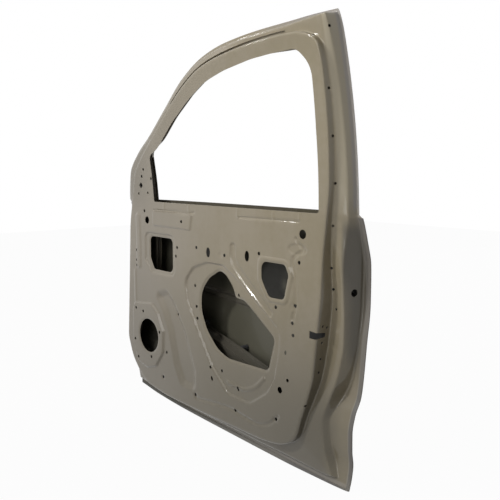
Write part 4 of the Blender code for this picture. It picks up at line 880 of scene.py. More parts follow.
@dataclass
class Sheet:
    """A pressing made from one open surface, thickened and cut."""

    name: str
    vertices: list = field(default_factory=list)
    faces: list = field(default_factory=list)

    def add(self, vertices: list, faces: list) -> None:
        """Append vertices, and faces that already count from the sheet's first vertex."""
        self.vertices.extend(vertices)
        self.faces.extend(tuple(map(int, face)) for face in faces)

    def build(self, inboard: bool = True) -> bpy.types.Object:
        """Make the object with its thickness, still without its cuts.

        Args:
            inboard: whether the faces look inboard on the whole.

        Returns:
            The object.
        """
        mesh = placed_mesh(self.name, self.vertices, self.faces, inboard)
        item = new_object(self.name, mesh)
        solid = item.modifiers.new("sheet", "SOLIDIFY")
        solid.thickness = SHEET
        solid.offset = -1.0
        solid.use_even_offset = True
        apply_all(item)
        return item


def loft(name: str, sections: list, inboard: bool = True) -> bpy.types.Object:
    """Make a pressing that joins sections of the same number of points.

    Args:
        name: the pressing's name.
        sections: its sections in order.
        inboard: whether its faces look inboard.

    Returns:
        The pressing.
    """
    sheet = Sheet(name)
    sheet.add([point for section in sections for point in section],
              grid_faces(len(sections), len(sections[0])))
    item = sheet.build(inboard)
    soften(item)
    return item


def choose(item: bpy.types.Object) -> None:
    """Select one object and nothing else."""
    bpy.ops.object.select_all(action="DESELECT")
    item.select_set(True)
    bpy.context.view_layer.objects.active = item


def apply_all(item: bpy.types.Object) -> None:
    """Apply an object's modifiers in order."""
    choose(item)
    for modifier in list(item.modifiers):
        bpy.ops.object.modifier_apply(modifier=modifier.name)


def drill(item: bpy.types.Object, prisms: list) -> None:
    """Cut prisms, given in the door's axes, out of an object.

    Args:
        item: the object.
        prisms: the points and faces of each.
    """
    vertices, faces = [], []
    for points, sides in prisms:
        faces.extend(tuple(len(vertices) + index for index in side) for side in sides)
        vertices.extend(points)
    cutter = new_object("drill", placed_mesh("drill", vertices, faces))
    cut = item.modifiers.new("cut", "BOOLEAN")
    cut.operation = "DIFFERENCE"
    cut.solver = "EXACT"
    cut.object = cutter
    apply_all(item)
    bpy.data.objects.remove(cutter, do_unlink=True)


def soften(item: bpy.types.Object) -> None:
    """Shade an object smooth except at its real edges."""
    choose(item)
    bpy.ops.object.shade_smooth_by_angle(angle=SMOOTH_ANGLE)


class RimLoop:
    """The rim's stations round the whole door, closer together where it turns."""

    def __init__(self) -> None:
        """Space the stations by length and by turning."""
        keys = np.array([rim.row() for rim in RIMS])
        keys = np.vstack([keys, keys[:1]])
        knots = np.concatenate([[0.0], np.cumsum(np.linalg.norm(np.diff(keys[:, :4], axis=0), axis=1))])
        dense = np.linspace(0.0, knots[-1], DENSE_STEPS)
        fields = np.stack([monotone_curve(knots, keys[:, column], dense)
                           for column in range(keys.shape[1])], -1)
        weight = sum(self.weight(fields[:, pair]) for pair in (slice(0, 2), slice(2, 4)))
        total = np.concatenate([[0.0], np.cumsum(weight)])
        count = int(round(total[-1]/2.0))
        picked = np.interp(np.arange(count)*total[-1]/count, total, np.arange(len(total)))
        for height in (SKIN_TOP, FRAME_FOOT):
            above = fields[:, 3] > height
            for step in np.nonzero(above[1:] != above[:-1])[0]:
                place = step + (height - fields[step, 3])/(fields[step + 1, 3] - fields[step, 3])
                picked[np.abs(picked - place).argmin()] = place
        picked.sort()
        self.stations = np.stack([np.interp(picked, np.arange(len(dense)), fields[:, column])
                                  for column in range(fields.shape[1])], -1)

    @staticmethod
    def weight(line: np.ndarray) -> np.ndarray:
        """Weigh each step of a line by its length and its turning.

        Args:
            line: the line's points.

        Returns:
            The weight of each step.
        """
        along = np.diff(line, axis=0)
        heading = np.unwrap(np.arctan2(along[:, 1], along[:, 0]))
        bend = np.degrees(np.abs(np.gradient(heading)))
        return np.linalg.norm(along, axis=1)/RIM_SPACING + np.minimum(bend/RIM_TURN, 0.4)

    def run(self, keep: np.ndarray) -> np.ndarray:
        """Return the one unbroken run of stations that a mask keeps."""
        start = next(i for i in range(len(keep)) if keep[i] and not keep[i - 1])
        return np.roll(self.stations, -start, axis=0)[:int(keep.sum())]


@dataclass(frozen=True)
class RimSection:
    """The bends of one rim section, trim-plane edge first."""

    station: np.ndarray

    def place(self, out: float, depth: float) -> np.ndarray:
        """Return a point at a distance outward and a depth outboard."""
        trim, edge = self.station[0:2], self.station[2:4]
        return on_frame(trim + unit(edge - trim)*out, depth)

    def rim_place(self, out: float, frame_lift: float, skin_lift: float) -> np.ndarray:
        """Return a point of the outer flange, which follows the skin below the belt.

        Args:
            out: the distance outward.
            frame_lift: how far inboard of the frame's rim it is.
            skin_lift: how far inboard of the skin it is.

        Returns:
            The point.
        """
        skirt = 1.0 - smooth((self.station[3] - SKIN_TOP)/(FRAME_FOOT - SKIN_TOP))
        point = self.place(out, self.station[8] - frame_lift)
        skin = skin_y(point[0], min(point[2], 0.010)) - skin_lift
        point[1] = point[1]*(1.0 - skirt) + skin*skirt
        return point

    def corners(self) -> list[np.ndarray]:
        """Return the section's corners before they are softened."""
        width = float(np.linalg.norm(self.station[2:4] - self.station[0:2]))
        flange, draft, land_in, land_out = self.station[4:8]
        turn_out = width - flange
        foot = min(0.40*flange, 0.014)
        land_end = max(turn_out, draft + 0.008)
        lift = 2.0*SHEET + FIT
        return [
            self.place(-2.0*FILLET, 0.0),
            self.place(FILLET, 0.0008),
            self.place(FILLET, land_in),
            self.place(land_end, land_out),
            self.rim_place(turn_out + foot, 0.002, lift + 0.003),
            self.rim_place(width, 0.0, lift),
        ]

    def points(self) -> list[np.ndarray]:
        """Return the softened section, without its first point on the trim plane."""
        corners = self.corners()
        bends = [fillet(*corners[index - 1:index + 2], reach, 6 if index == 1 else 5)
                 for index, reach in ((1, FILLET), (2, 0.0040), (3, 0.0055), (4, 0.0040))]
        line = list(bends[0])
        for bend in bends[1:]:
            line += [line[-1] + (bend[0] - line[-1])*share for share in (1.0/3.0, 2.0/3.0)]
            line += bend
        line += [(line[-1] + corners[5])/2.0, corners[5]]
        return line[1:]


def wall_x(stations: np.ndarray, z: float, at_rear: bool) -> float:
    """Return x of the first shut-face wall at height z.

    Args:
        stations: the rim's stations.
        z: the height.
        at_rear: whether it is the latch face.

    Returns:
        The wall's x.
    """
    walls = np.array([RimSection(station).place(FILLET, FILLET)[[0, 2]] for station in stations])
    side = walls[(walls[:, 0] > 0.5) == at_rear]
    side = side[(side[:, 1] < -0.02) & (side[:, 1] > SILL + 0.12)]
    order = side[:, 1].argsort()
    return float(np.interp(z, side[order, 1], side[order, 0]))


SHUT_FACE_HOLES = (
    (rear(0.051), -0.004, 0.3000), (rear(0.050), 0.012, 0.1850), (rear(0.047), 0.022, 0.0680),
    (rear(0.0609), 0.030, -0.0400), (rear(0.0613), 0.030, -0.1513), (rear(0.063), 0.040, -0.2082),
    (rear(0.0529), 0.040, -0.2610), (rear(0.020), -0.035, 0.4420), (rear(0.082), -0.031, 0.4250),
)
SHUT_HOLE_AXIS = (0.76, -0.65, 0.0)
# The striker notch narrows outboard: its corners from the latch face's edge, at two depths
NOTCH = ((-0.010, ((-0.031, -0.3175), (0.012, -0.3215), (0.012, -0.3405), (-0.031, -0.3405))),
         (0.034, ((-0.012, -0.3260), (0.012, -0.3260), (0.012, -0.3360), (-0.012, -0.3360))))


@dataclass
class InnerPanel:
    """The inner panel: trim plane with its cut-outs and pressings, and the stepped rim."""

    loop: RimLoop

    def holes(self) -> list[np.ndarray]:
        """Return the outlines of everything punched through the trim plane."""
        holes = [WINDOW, ACCESS_HOLE, FRONT_HOLE, REAR_HOLE, SPEAKER_HOLE, MIRROR_PLUG]
        holes += [oval_outline(centre, OVAL_SIZE) for centre in OVALS]
        holes += [round_outline(centre, ROUND_HOLE_RADIUS, 32) for centre in ROUND_HOLES]
        holes += [round_outline(centre, CLIP_HOLE_RADIUS) for centre in CLIP_HOLES]
        holes += [oval_outline(centre, size, 16, tilt) for centre, size, tilt in SLOTS]
        holes += [round_outline(centre, MIRROR_BOLT_RADIUS) for centre in MIRROR_BOLTS]
        return holes

    def wall_hole(self, y: float, z: float, outline: np.ndarray, at_rear: bool) -> tuple:
        """Return the prism of a hole that stands square to the hinge or latch face."""
        normal = Vector((1.0, 0.0, -(LATCH_LEAN if at_rear else HINGE_LEAN))).normalized()
        return prism((wall_x(self.loop.stations, z, at_rear), y, z), normal, outline, PUNCH_REACH)

    def cuts(self) -> list:
        """Return the prisms of the hinge, latch and shut-face holes."""
        bolt, latch_bolt, latch_pin = (round_outline((0.0, 0.0), radius, count) for radius, count in
                                       ((HINGE_BOLT_RADIUS, 20), (LATCH_BOLT_RADIUS, 16),
                                        (LATCH_PIN_RADIUS, 16)))
        slot = rounded_outline(((-0.007, -0.013), (0.007, -0.013), (0.007, 0.013), (-0.007, 0.013)),
                               0.004, spacing=0.1, turn=15.0)
        prisms = [self.wall_hole(HINGE_Y, centre + step*pitch, bolt, False)
                  for centre, pitch in ((HINGE_Z, HINGE_BOLT_PITCH), (CHECK_Z, CHECK_BOLT_PITCH),
                                        (LOWER_HINGE_Z, HINGE_BOLT_PITCH))
                  for step in (0.5, -0.5)]
        prisms.append(self.wall_hole(HINGE_Y, CHECK_Z, slot, False))
        prisms += [self.wall_hole(y, z, latch_bolt, True) for y, z in LATCH_BOLTS]
        prisms += [self.wall_hole(y, z, latch_pin, True) for y, z in LATCH_PINS]
        edge = wall_x(self.loop.stations, LATCH_Z, True)
        points = [(edge + x, y, z) for y, corners in NOTCH for x, z in corners]
        faces = [(0, 1, 2, 3), (7, 6, 5, 4), (0, 4, 5, 1), (1, 5, 6, 2), (2, 6, 7, 3), (3, 7, 4, 0)]
        prisms.append((points, faces))
        prisms.append(prism((rear(0.026), 0.080, -0.2166), (1.0, 0.0, 0.0),
                            round_outline((0.0, 0.0), DRAIN_HOLE_RADIUS, 24), 0.040))
        hole = round_outline((0.0, 0.0), SHUT_HOLE_RADIUS)
        prisms += [prism(place, SHUT_HOLE_AXIS, hole, SIGHT_PUNCH_REACH) for place in SHUT_FACE_HOLES]
        return prisms

    def build(self) -> bpy.types.Object:
        """Build the panel and return it."""
        stations = self.loop.stations
        flat, faces, ring = triangulate(stations[:, 0:2], self.holes(), PANEL_PITCH, emboss)
        edge_gap = distance_to(flat, stations[:, 0:2], True)
        height = lean(flat[:, 1]) + emboss(flat)*smooth(edge_gap/FEATURE_FADE)
        sheet = Sheet("inner_panel_pressing")
        sheet.add([(x, y, z) for (x, z), y in zip(flat, height)], faces)
        sections = [RimSection(station).points() for station in stations]
        columns, count, first = len(sections[0]), len(sections), len(flat)
        vertices = [point for section in sections for point in section]
        joining = [(first + i*columns, first + ((i + 1) % count)*columns, ring[(i + 1) % count], ring[i])
                   for i in range(count)]
        sheet.add(vertices, joining + [face[::-1] for face in grid_faces(count, columns, first, True)])
        panel = sheet.build()
        drill(panel, self.cuts())
        soften(panel)
        return panel


@dataclass
class OuterSkin:
    """The skin, hemmed round the inner panel along its front, lower and rear edges."""

    loop: RimLoop

    @staticmethod
    def handle_outline() -> np.ndarray:
        """Return the outline of the handle recess."""
        return rounded_outline(
            ((HANDLE_FRONT_X + 0.018, HANDLE_Z - 0.036), (HANDLE_REAR_X - 0.026, HANDLE_Z - 0.036),
             (HANDLE_REAR_X - 0.026, HANDLE_Z + 0.034), (HANDLE_FRONT_X + 0.018, HANDLE_Z + 0.034)),
            0.030)

    def recess(self, points: np.ndarray) -> np.ndarray:
        """Return how deep the handle recess is at each x, z point.

        Args:
            points: x, z points.

        Returns:
            The depths.
        """
        outline = self.handle_outline()
        depth = distance_to(points, outline, True)
        return HANDLE_DEPTH*smooth(np.where(inside(points, outline), depth, 0.0)/HANDLE_RAMP)

    def section(self, station: np.ndarray) -> list[np.ndarray]:
        """Return the hem's section at a station, outer face first.

        Args:
            station: one row of the rim.

        Returns:
            The section's points.
        """
        edge = station[2:4]
        along = unit(edge - station[0:2])
        inner, outer = RimSection(station).corners()[-2:]
        reach = np.linalg.norm((outer - inner)[[0, 2]])
        back = outer + (inner - outer)*(HEM_RETURN/reach)
        face = float(skin_y(edge[0], edge[1]))

        def place(out: float, y: float) -> np.ndarray:
            return np.array([edge[0] + along[0]*out, y, edge[1] + along[1]*out])

        start = edge - along*0.014
        fold = HEM_FOLD/2.0
        bend = [place(0.0004 + 0.0015*math.sin(turn), face - fold + fold*math.cos(turn))
                for turn in np.linspace(0.0, math.pi, 7)]
        return [np.array([start[0], float(skin_y(start[0], start[1])), start[1]]), *bend,
                np.array([back[0], back[1] - SHEET - FIT, back[2]])]

    def build(self) -> bpy.types.Object:
        """Build the skin and return it."""
        ring = self.loop.run(self.loop.stations[:, 3] < SKIN_TOP + 0.0005)
        sections = [self.section(station) for station in ring]
        border = np.array([(section[0][0], section[0][2]) for section in sections])
        shares = np.arange(1, BELT_STEPS)/BELT_STEPS
        belt = border[-1] + (border[0] - border[-1])*shares[:, None]
        belt[:, 1] += (BELT_OUTER - SKIN_TOP)*smooth(np.minimum(shares, 1.0 - shares)/0.07)
        holes = [oval_outline((HANDLE_FRONT_X, HANDLE_Z), (0.016, 0.026), 28),
                 oval_outline((HANDLE_REAR_X, HANDLE_Z), (0.034, 0.024))]
        flat, faces, place_of = triangulate(np.vstack([border, belt]), holes, SKIN_PITCH)
        height = skin_y(flat[:, 0], flat[:, 1]) - self.recess(flat)
        sheet = Sheet("outer_skin_pressing")
        sheet.add([(x, y, z) for (x, z), y in zip(flat, height)], faces)
        first, columns = len(flat), len(sections[0]) - 1
        joining = [(first + i*columns, first + (i + 1)*columns, place_of[i + 1], place_of[i])
                   for i in range(len(sections) - 1)]
        sheet.add([point for section in sections for point in section[1:]],
                  joining + grid_faces(len(sections), columns, first))
        skin = sheet.build()
        soften(skin)
        return skin


@dataclass
class WindowFrame:
    """The outer half of the window frame, with the groove for the glass run."""

    loop: RimLoop

    @staticmethod
    def section(station: np.ndarray, inner: np.ndarray) -> list[np.ndarray]:
        """Return the frame's section from the window's edge out to a station.

        Args:
            station: one row of the rim.
            inner: the place on the window's edge.

        Returns:
            The section's points.
        """
        foot, edge = RimSection(station).corners()[-2:]
        out = unit(edge[[0, 2]] - inner)
        sail = float(smooth((0.20 - edge[0])/0.12))
        run = 0.022 + 0.023*float(np.clip(1.0 - inner[1]/HEADER, 0.0, 1.0))

        def place(reach: float, depth: float) -> np.ndarray:
            return on_frame(inner + out*reach, depth)

        lap = SHEET + FIT
        lip = run + RUN_WIDTH/2.0 + 0.004
        setback = GROOVE_SETBACK*(lip - GROOVE_SHOWN)*max(0.0, -float(out[0]))
        groove = setback + RUN_DEPTH + 0.004
        open_run = [place(0.0020, lap + 0.0004), place(groove, lap + 0.0006),
                    place(groove, lip - 0.001), place(setback + 0.0040, lip)]
        closed_run = [place(setback + 0.0020, lip - 0.006), place(setback + 0.0030, lip - 0.004),
                      place(setback + 0.0035, lip - 0.002), place(setback + 0.0040, lip)]
        corners = open_run if sail < 0.5 else closed_run
        corners += [place(setback + 0.0050, lip + 0.004), foot + np.array([0.0, 0.006, 0.0]),
                    edge + np.array([0.0, lap, 0.0])]
        return bent(corners, [0.0016]*3 + [0.0035]*(len(corners) - 5), 4)

    def build(self) -> bpy.types.Object:
        """Build the frame and return it."""
        ring = self.loop.run(self.loop.stations[:, 3] > FRAME_FOOT - 0.0005)
        inner = np.array([nearest_on(WINDOW, station[0:2]) for station in ring])
        wide = np.pad(inner, ((EVEN_OUT, EVEN_OUT), (0, 0)), "edge")
        kernel = np.ones(2*EVEN_OUT + 1)/(2*EVEN_OUT + 1)
        inner = np.stack([np.convolve(wide[:, axis], kernel, "valid") for axis in (0, 1)], -1)
        sections = [self.section(station, place) for station, place in zip(ring, inner)]
        return loft("window_frame_pressing", sections, inboard=False)


@dataclass(frozen=True)
class BeltReinforcement:
    """The hat-shaped reinforcement along the skin's belt edge."""

    start: float
    end: float
    count: int = 120

    def build(self) -> bpy.types.Object:
        """Build the reinforcement and return it."""
        drops = ((-0.001, 0.0), (0.014, 0.0), (0.020, 0.012), (0.046, 0.012), (0.052, 0.004))
        sections = []
        for x in np.linspace(self.start, self.end, self.count):
            corners = [np.array([x, skin_y(x, BELT_OUTER - drop) - SHEET - FIT - lift, BELT_OUTER - drop])
                       for drop, lift in drops]
            sections.append(bent(corners, [0.0030]*3, 4))
        return loft("belt_stiffener_outer", sections)


@dataclass(frozen=True)
class GlassRun:
    """A U-shaped steel channel that guides the edge of the glass."""

    name: str
    path: tuple
    opening: float

    def build(self) -> bpy.types.Object:
        """Build the channel and return it."""
        heights, xs, ys = (np.array([place[axis] for place in self.path])[::-1] for axis in range(3))
        half = RUN_WIDTH/2.0
        sections = []
        for z in np.linspace(heights[0], heights[-1], RUN_STEPS):
            x, y = monotone_curve(heights, xs, z), monotone_curve(heights, ys, z)
            mouth, back = x + self.opening*RUN_DEPTH/2.0, x - self.opening*RUN_DEPTH/2.0
            corners = [np.array([across, depth, z]) for across, depth in
                       ((mouth, y - half), (back, y - half), (back, y + half), (mouth, y + half))]
            sections.append(bent(corners, [RUN_BEND]*2, 5))
        return loft(self.name, sections)


FRONT_RUN = ((0.142, 0.1175, 0.0215), (0.060, 0.1235, 0.0290), (0.000, 0.1260, 0.0330),
             (-0.190, 0.1075, 0.0540), (-0.360, 0.0870, 0.0580))
REAR_RUN = ((-0.020, rear(0.093), 0.0480), (-0.130, rear(0.100), 0.0560), (-0.300, rear(0.114), 0.0600))


# Shader graphs
class Value:
    """A shader number that arithmetic builds nodes from."""

    def __init__(self, graph: "Graph", socket: bpy.types.NodeSocket) -> None:
        """Keep the graph and the socket."""
        self.graph = graph
        self.socket = socket

    def math(self, operation: str, *others: "Value | float") -> "Value":
        """Return a Math node's result with this value first."""
        return self.graph.math(operation, self, *others)

    def __add__(self, other: "Value | float") -> "Value":
        """Return the sum."""
        return self.math("ADD", other)

    def __sub__(self, other: "Value | float") -> "Value":
        """Return the difference."""
        return self.math("SUBTRACT", other)

    def __rsub__(self, other: float) -> "Value":
        """Return a number less this value."""
        return self.graph.math("SUBTRACT", other, self)

    def __mul__(self, other: "Value | float") -> "Value":
        """Return the product."""
        return self.math("MULTIPLY", other)

    def ramp(self, low: float, high: float) -> "Value":
        """Return 0 at low and 1 at high, eased between."""
        found = self.graph.node("ShaderNodeMapRange", {"interpolation_type": "SMOOTHSTEP"},
                                {"Value": self, "From Min": low, "From Max": high})
        return Value(self.graph, found.outputs["Result"])

    def larger(self, other: "Value | float") -> "Value":
        """Return the larger of two values."""
        return self.math("MAXIMUM", other)

class Graph:
    """A material's or the world's node tree."""

    def __init__(self, tree: bpy.types.NodeTree) -> None:
        """Empty the tree."""
        self.tree = tree
        tree.nodes.clear()

    def node(self, kind: str, settings: dict | None = None, sockets: dict | None = None
             ) -> bpy.types.Node:
        """Add a node.

        Args:
            kind: the node's type.
            settings: its own properties, set first.
            sockets: what each input holds or is linked to.

        Returns:
            The node.
        """
        made = self.tree.nodes.new(kind)
        for name, value in (settings or {}).items():
            setattr(made, name, value)
        for name, value in (sockets or {}).items():
            if isinstance(value, Value):
                value = value.socket
            if isinstance(value, bpy.types.NodeSocket):
                self.tree.links.new(value, made.inputs[name])
            else:
                made.inputs[name].default_value = value
        return made

    def math(self, operation: str, *values: Value | float) -> Value:
        """Return a Math node's result."""
        made = self.node("ShaderNodeMath", {"operation": operation},
                         {index: value for index, value in enumerate(values)})
        return Value(self, made.outputs[0])

    def coordinates(self, stretch: tuple = (1.0, 1.0, 1.0)) -> bpy.types.NodeSocket:
        """Return the object's own coordinates, stretched."""
        source = self.node("ShaderNodeTexCoord")
        mapping = self.node("ShaderNodeMapping", None,
                            {"Vector": source.outputs["Object"], "Scale": stretch})
        return mapping.outputs["Vector"]

    def axes(self) -> tuple[Value, Value, Value]:
        """Return the object's x, y and z."""
        split = self.node("ShaderNodeSeparateXYZ", None, {"Vector": self.coordinates()})
        return tuple(Value(self, split.outputs[axis]) for axis in "XYZ")

    def facing(self) -> Value:
        """Return how far the surface looks outboard, from -1 to 1."""
        source = self.node("ShaderNodeTexCoord")
        split = self.node("ShaderNodeSeparateXYZ", None, {"Vector": source.outputs["Normal"]})
        return Value(self, split.outputs["Y"])

    def noise(self, scale: float, detail: float = 3.0, roughness: float = 0.5,
              stretch: tuple = (1.0, 1.0, 1.0)) -> Value:
        """Return noise between about 0 and 1.

        Args:
            scale: how fine it is.
            detail: how many finer layers it has.
            roughness: how strong they are.
            stretch: how the coordinates are stretched.

        Returns:
            The noise.
        """
        made = self.node("ShaderNodeTexNoise", None,
                         {"Vector": self.coordinates(stretch), "Scale": scale, "Detail": detail,
                          "Roughness": roughness})
        return Value(self, made.outputs["Fac"])

    def blend(self, factor: Value | float, first: tuple | bpy.types.NodeSocket,
              second: tuple | bpy.types.NodeSocket) -> bpy.types.NodeSocket:
        """Return a mix of two colours."""
        made = self.node("ShaderNodeMix", {"data_type": "RGBA"}, {0: factor, 6: first, 7: second})
        return made.outputs[2]

    def bump(self, height: Value, strength: float, distance: float) -> bpy.types.NodeSocket:
        """Return a normal bent by a height."""
        made = self.node("ShaderNodeBump", None,
                         {"Height": height, "Strength": strength, "Distance": distance})
        return made.outputs["Normal"]

    def finish(self, sockets: dict) -> None:
        """Close a material with one Principled shader."""
        shader = self.node("ShaderNodeBsdfPrincipled", None, sockets)
        self.node("ShaderNodeOutputMaterial", None, {"Surface": shader.outputs[0]})


def new_graph(name: str) -> tuple[bpy.types.Material, Graph]:
    """Return a new material and its empty graph."""
    material = bpy.data.materials.new(name)
    material.use_nodes = True
    return material, Graph(material.node_tree)


def tone(red: float, green: float, blue: float) -> tuple[float, float, float, float]:
    """Return an opaque colour."""
    return (red, green, blue, 1.0)


@dataclass(frozen=True)
class Tones:
    """The primer's tones: its film, haze, a greyer front, painted shade where less light falls, painted
    light on the rear pillar and painted sheen on the edges.
    """

    film: tuple
    haze: tuple
    front_grey: tuple
    # Painted shade: a darker film where less light falls
    painted_shade: tuple
    # Painted light: a lighter film on the rear pillar
    pale: tuple
    # Painted sheen: a pale grey reflection on the edges
    rim: tuple


PRIMER = Tones(tone(0.245, 0.207, 0.135), tone(0.272, 0.233, 0.165), tone(0.243, 0.217, 0.181),
               tone(0.106, 0.093, 0.067), tone(0.345, 0.302, 0.218), tone(0.300, 0.281, 0.264))
# Darker copies of the primer, painted shade: for pieces that stand in shade, for the beam and stiffener
# inside the door, and darkest for plates deep in the door
SHADED = Tones(tone(0.098, 0.085, 0.056), tone(0.118, 0.104, 0.076), tone(0.104, 0.094, 0.074),
               tone(0.080, 0.070, 0.050), tone(0.110, 0.100, 0.080), tone(0.110, 0.100, 0.085))
INSIDE = Tones(tone(0.085, 0.078, 0.060), tone(0.098, 0.090, 0.070), tone(0.088, 0.080, 0.064),
               tone(0.070, 0.064, 0.050), tone(0.098, 0.090, 0.070), tone(0.098, 0.090, 0.074))
CAVITY_SHADE = Tones(tone(0.034, 0.031, 0.025), tone(0.042, 0.038, 0.031), tone(0.036, 0.033, 0.027),
               tone(0.028, 0.026, 0.021), tone(0.042, 0.038, 0.031), tone(0.045, 0.041, 0.034))
# Painted shade on the skin's inboard side, and a deeper painted shade for its darkest parts
INBOARD_SHADE = tone(0.084, 0.079, 0.058)
DEEP_SHADE = tone(0.022, 0.021, 0.017)
SPECKS = tone(0.55, 0.53, 0.48)

# Where the tones begin and are full, in the imported frame: painted shade low down, on the rear flange
# and on the sail, painted sheen on the hem and the frame's rim, painted light on the rear pillar
FRONT_GREY_X = (0.75, -0.05)
LOW_SHADE_Z = (0.02, -0.50)
HEM_REAR = (1.004, 1.010)
HEM_LOW = (-0.568, -0.576)
HEM_FRONT = (-0.034, -0.040)
FRAME_RIM_Y = (0.022, 0.034)
FRAME_RIM_Z = (0.13, 0.17)
FLANGE_X = (0.980, 0.993)
FLANGE_TOP = (0.14, 0.09)
FLANGE_FOOT = (-0.34, -0.22)
SAIL_X = (0.18, 0.05)
SAIL_Z = (0.08, 0.18)
PILLAR_LIGHT_X = (0.974, 0.981)
PILLAR_LIGHT_Z = (0.12, 0.20)


@dataclass(frozen=True)
class EcoatFinish:
    """Baked electro-coat: a thinly laid olive film, glossy, with soft runs, haze and dust, and with
    painted shade, light and sheen.
    """

    name: str
    tones: Tones
    roughness: float
    coat: float
    # Whether faces that look inboard get painted shade and a weaker coat
    shades_inboard: bool = False

    def colour(self, graph: Graph, clouds: Value, mottle: Value) -> bpy.types.NodeSocket:
        """Return the film's colour over the door, with its painted shade, light and sheen.

        Args:
            graph: the material's graph.
            clouds: broad noise.
            mottle: fine noise.

        Returns:
            The colour.
        """
        x, y, z = graph.axes()
        runs = graph.noise(34.0, 2.0, 0.5, (1.0, 1.0, 0.10))
        tones = self.tones
        colour = graph.blend((clouds*0.55 + mottle*0.25 + runs*0.20).ramp(0.38, 0.64), tones.film,
                             tones.haze)
        # Greyer towards the front
        colour = graph.blend(x.ramp(*FRONT_GREY_X)*0.75, colour, tones.front_grey)
        # Painted shade: darker towards the bottom, more so towards the rear
        low = z.ramp(*LOW_SHADE_Z)*(x.ramp(-0.3, 1.1)*0.6 + 0.4)*(x.ramp(1.00, 0.92)*0.5 + 0.5)
        colour = graph.blend(low, colour, tones.painted_shade)
        if self.shades_inboard:
            colour = self.paint_inboard_shade(graph, colour)
        # Painted shade on the rear flange below the belt
        colour = graph.blend(x.ramp(*FLANGE_X)*z.ramp(*FLANGE_TOP)*z.ramp(*FLANGE_FOOT)*0.95, colour,
                             tones.painted_shade)
        # Painted shade on the sail
        colour = graph.blend(x.ramp(*SAIL_X)*z.ramp(*SAIL_Z)*0.30, colour, tones.painted_shade)
        # Painted light on the rear pillar's land
        colour = graph.blend(x.ramp(*PILLAR_LIGHT_X)*z.ramp(*PILLAR_LIGHT_Z)*0.85, colour, tones.pale)
        # Painted sheen along the hem edges
        hem = x.ramp(*HEM_REAR).larger(z.ramp(*HEM_LOW)).larger(x.ramp(*HEM_FRONT))
        colour = graph.blend(hem*0.40, colour, tones.rim)
        # Painted sheen along the frame's outer rim
        rise = (z + HINGE_Z).larger(0.0)
        frame_rim_sheen = (y + rise*rise*(0.5/LEAN_RADIUS)).ramp(*FRAME_RIM_Y)*z.ramp(*FRAME_RIM_Z)
        colour = graph.blend(frame_rim_sheen*0.80, colour, tones.rim)
        specks = graph.noise(900.0, 1.0).ramp(0.735, 0.775)*clouds.ramp(0.35, 0.70)
        return graph.blend(specks*0.16, colour, SPECKS)

    @staticmethod
    def paint_inboard_shade(graph: Graph, colour: bpy.types.NodeSocket) -> bpy.types.NodeSocket:
        """Return the colour with painted shade on its inboard side, deepest behind the latch, low down
        and in its upper part.

        Args:
            graph: the material's graph.
            colour: the outboard side's colour.

        Returns:
            The colour.
        """
        x, _, z = graph.axes()
        hidden = graph.facing().ramp(0.05, -0.05)
        behind_latch = x.ramp(0.76, 0.81)*x.ramp(0.998, 0.985)
        low = z.ramp(-0.30, -0.37)*z.ramp(-0.568, -0.55)*0.75
        high = z.ramp(-0.06, 0.01)*0.75
        # Painted shade where the faces look inboard, deeper in the darkest parts
        colour = graph.blend(hidden, colour, INBOARD_SHADE)
        return graph.blend(hidden*behind_latch.larger(low).larger(high), colour, DEEP_SHADE)

    def build(self) -> bpy.types.Material:
        """Return the material."""
        material, graph = new_graph(self.name)
        clouds = graph.noise(5.0, 4.0)
        mottle = graph.noise(55.0, 3.0)
        grain = graph.noise(420.0, 2.0)
        wear = (mottle*0.6 + grain*0.4).ramp(0.35, 0.70)
        peel = graph.noise(260.0, 2.0)*0.6 + graph.noise(38.0, 1.0)*1.2
        coat = clouds*0.15 + (self.coat - 0.08)
        if self.shades_inboard:
            coat = coat*(1.0 - graph.facing().ramp(0.05, -0.05)*0.75)
        graph.finish({
            "Base Color": self.colour(graph, clouds, mottle),
            "Roughness": wear*0.10 + (self.roughness - 0.05),
            "Coat Weight": coat,
            "Coat Roughness": 0.06,
            "Coat IOR": 1.45,
            "Specular IOR Level": 0.25,
            "Normal": graph.bump(peel, 0.10, 0.0006),
        })
        return material


@dataclass(frozen=True)
class ZincFinish:
    """Yellow-passivated steel of the weld nuts."""

    name: str
    colour: tuple
    stain: tuple

    def build(self) -> bpy.types.Material:
        """Return the material."""
        material, graph = new_graph(self.name)
        patches = graph.noise(160.0, 4.0)
        scratches = graph.noise(600.0, 2.0, 0.6, (1.0, 0.08, 1.0))
        graph.finish({
            "Base Color": graph.blend(patches.ramp(0.40, 0.62), self.colour, self.stain),
            "Metallic": patches.ramp(0.75, 0.50)*0.25 + 0.70,
            "Roughness": scratches*0.22 + 0.26,
            "Normal": graph.bump(scratches, 0.15, 0.0003),
        })
        return material


@dataclass(frozen=True)
class MasticFinish:
    """Baked mastic of the anti-flutter pads."""

    name: str
    colour: tuple
    dust: tuple

    def build(self) -> bpy.types.Material:
        """Return the material."""
        material, graph = new_graph(self.name)
        lumps = graph.noise(140.0, 3.0)
        fine = graph.noise(700.0, 2.0)
        graph.finish({
            "Base Color": graph.blend((lumps*0.6 + fine*0.4).ramp(0.45, 0.70), self.colour, self.dust),
            "Roughness": fine*0.20 + 0.66,
            "Normal": graph.bump(lumps*0.8 + fine*0.2, 0.5, 0.0012),
        })
        return material


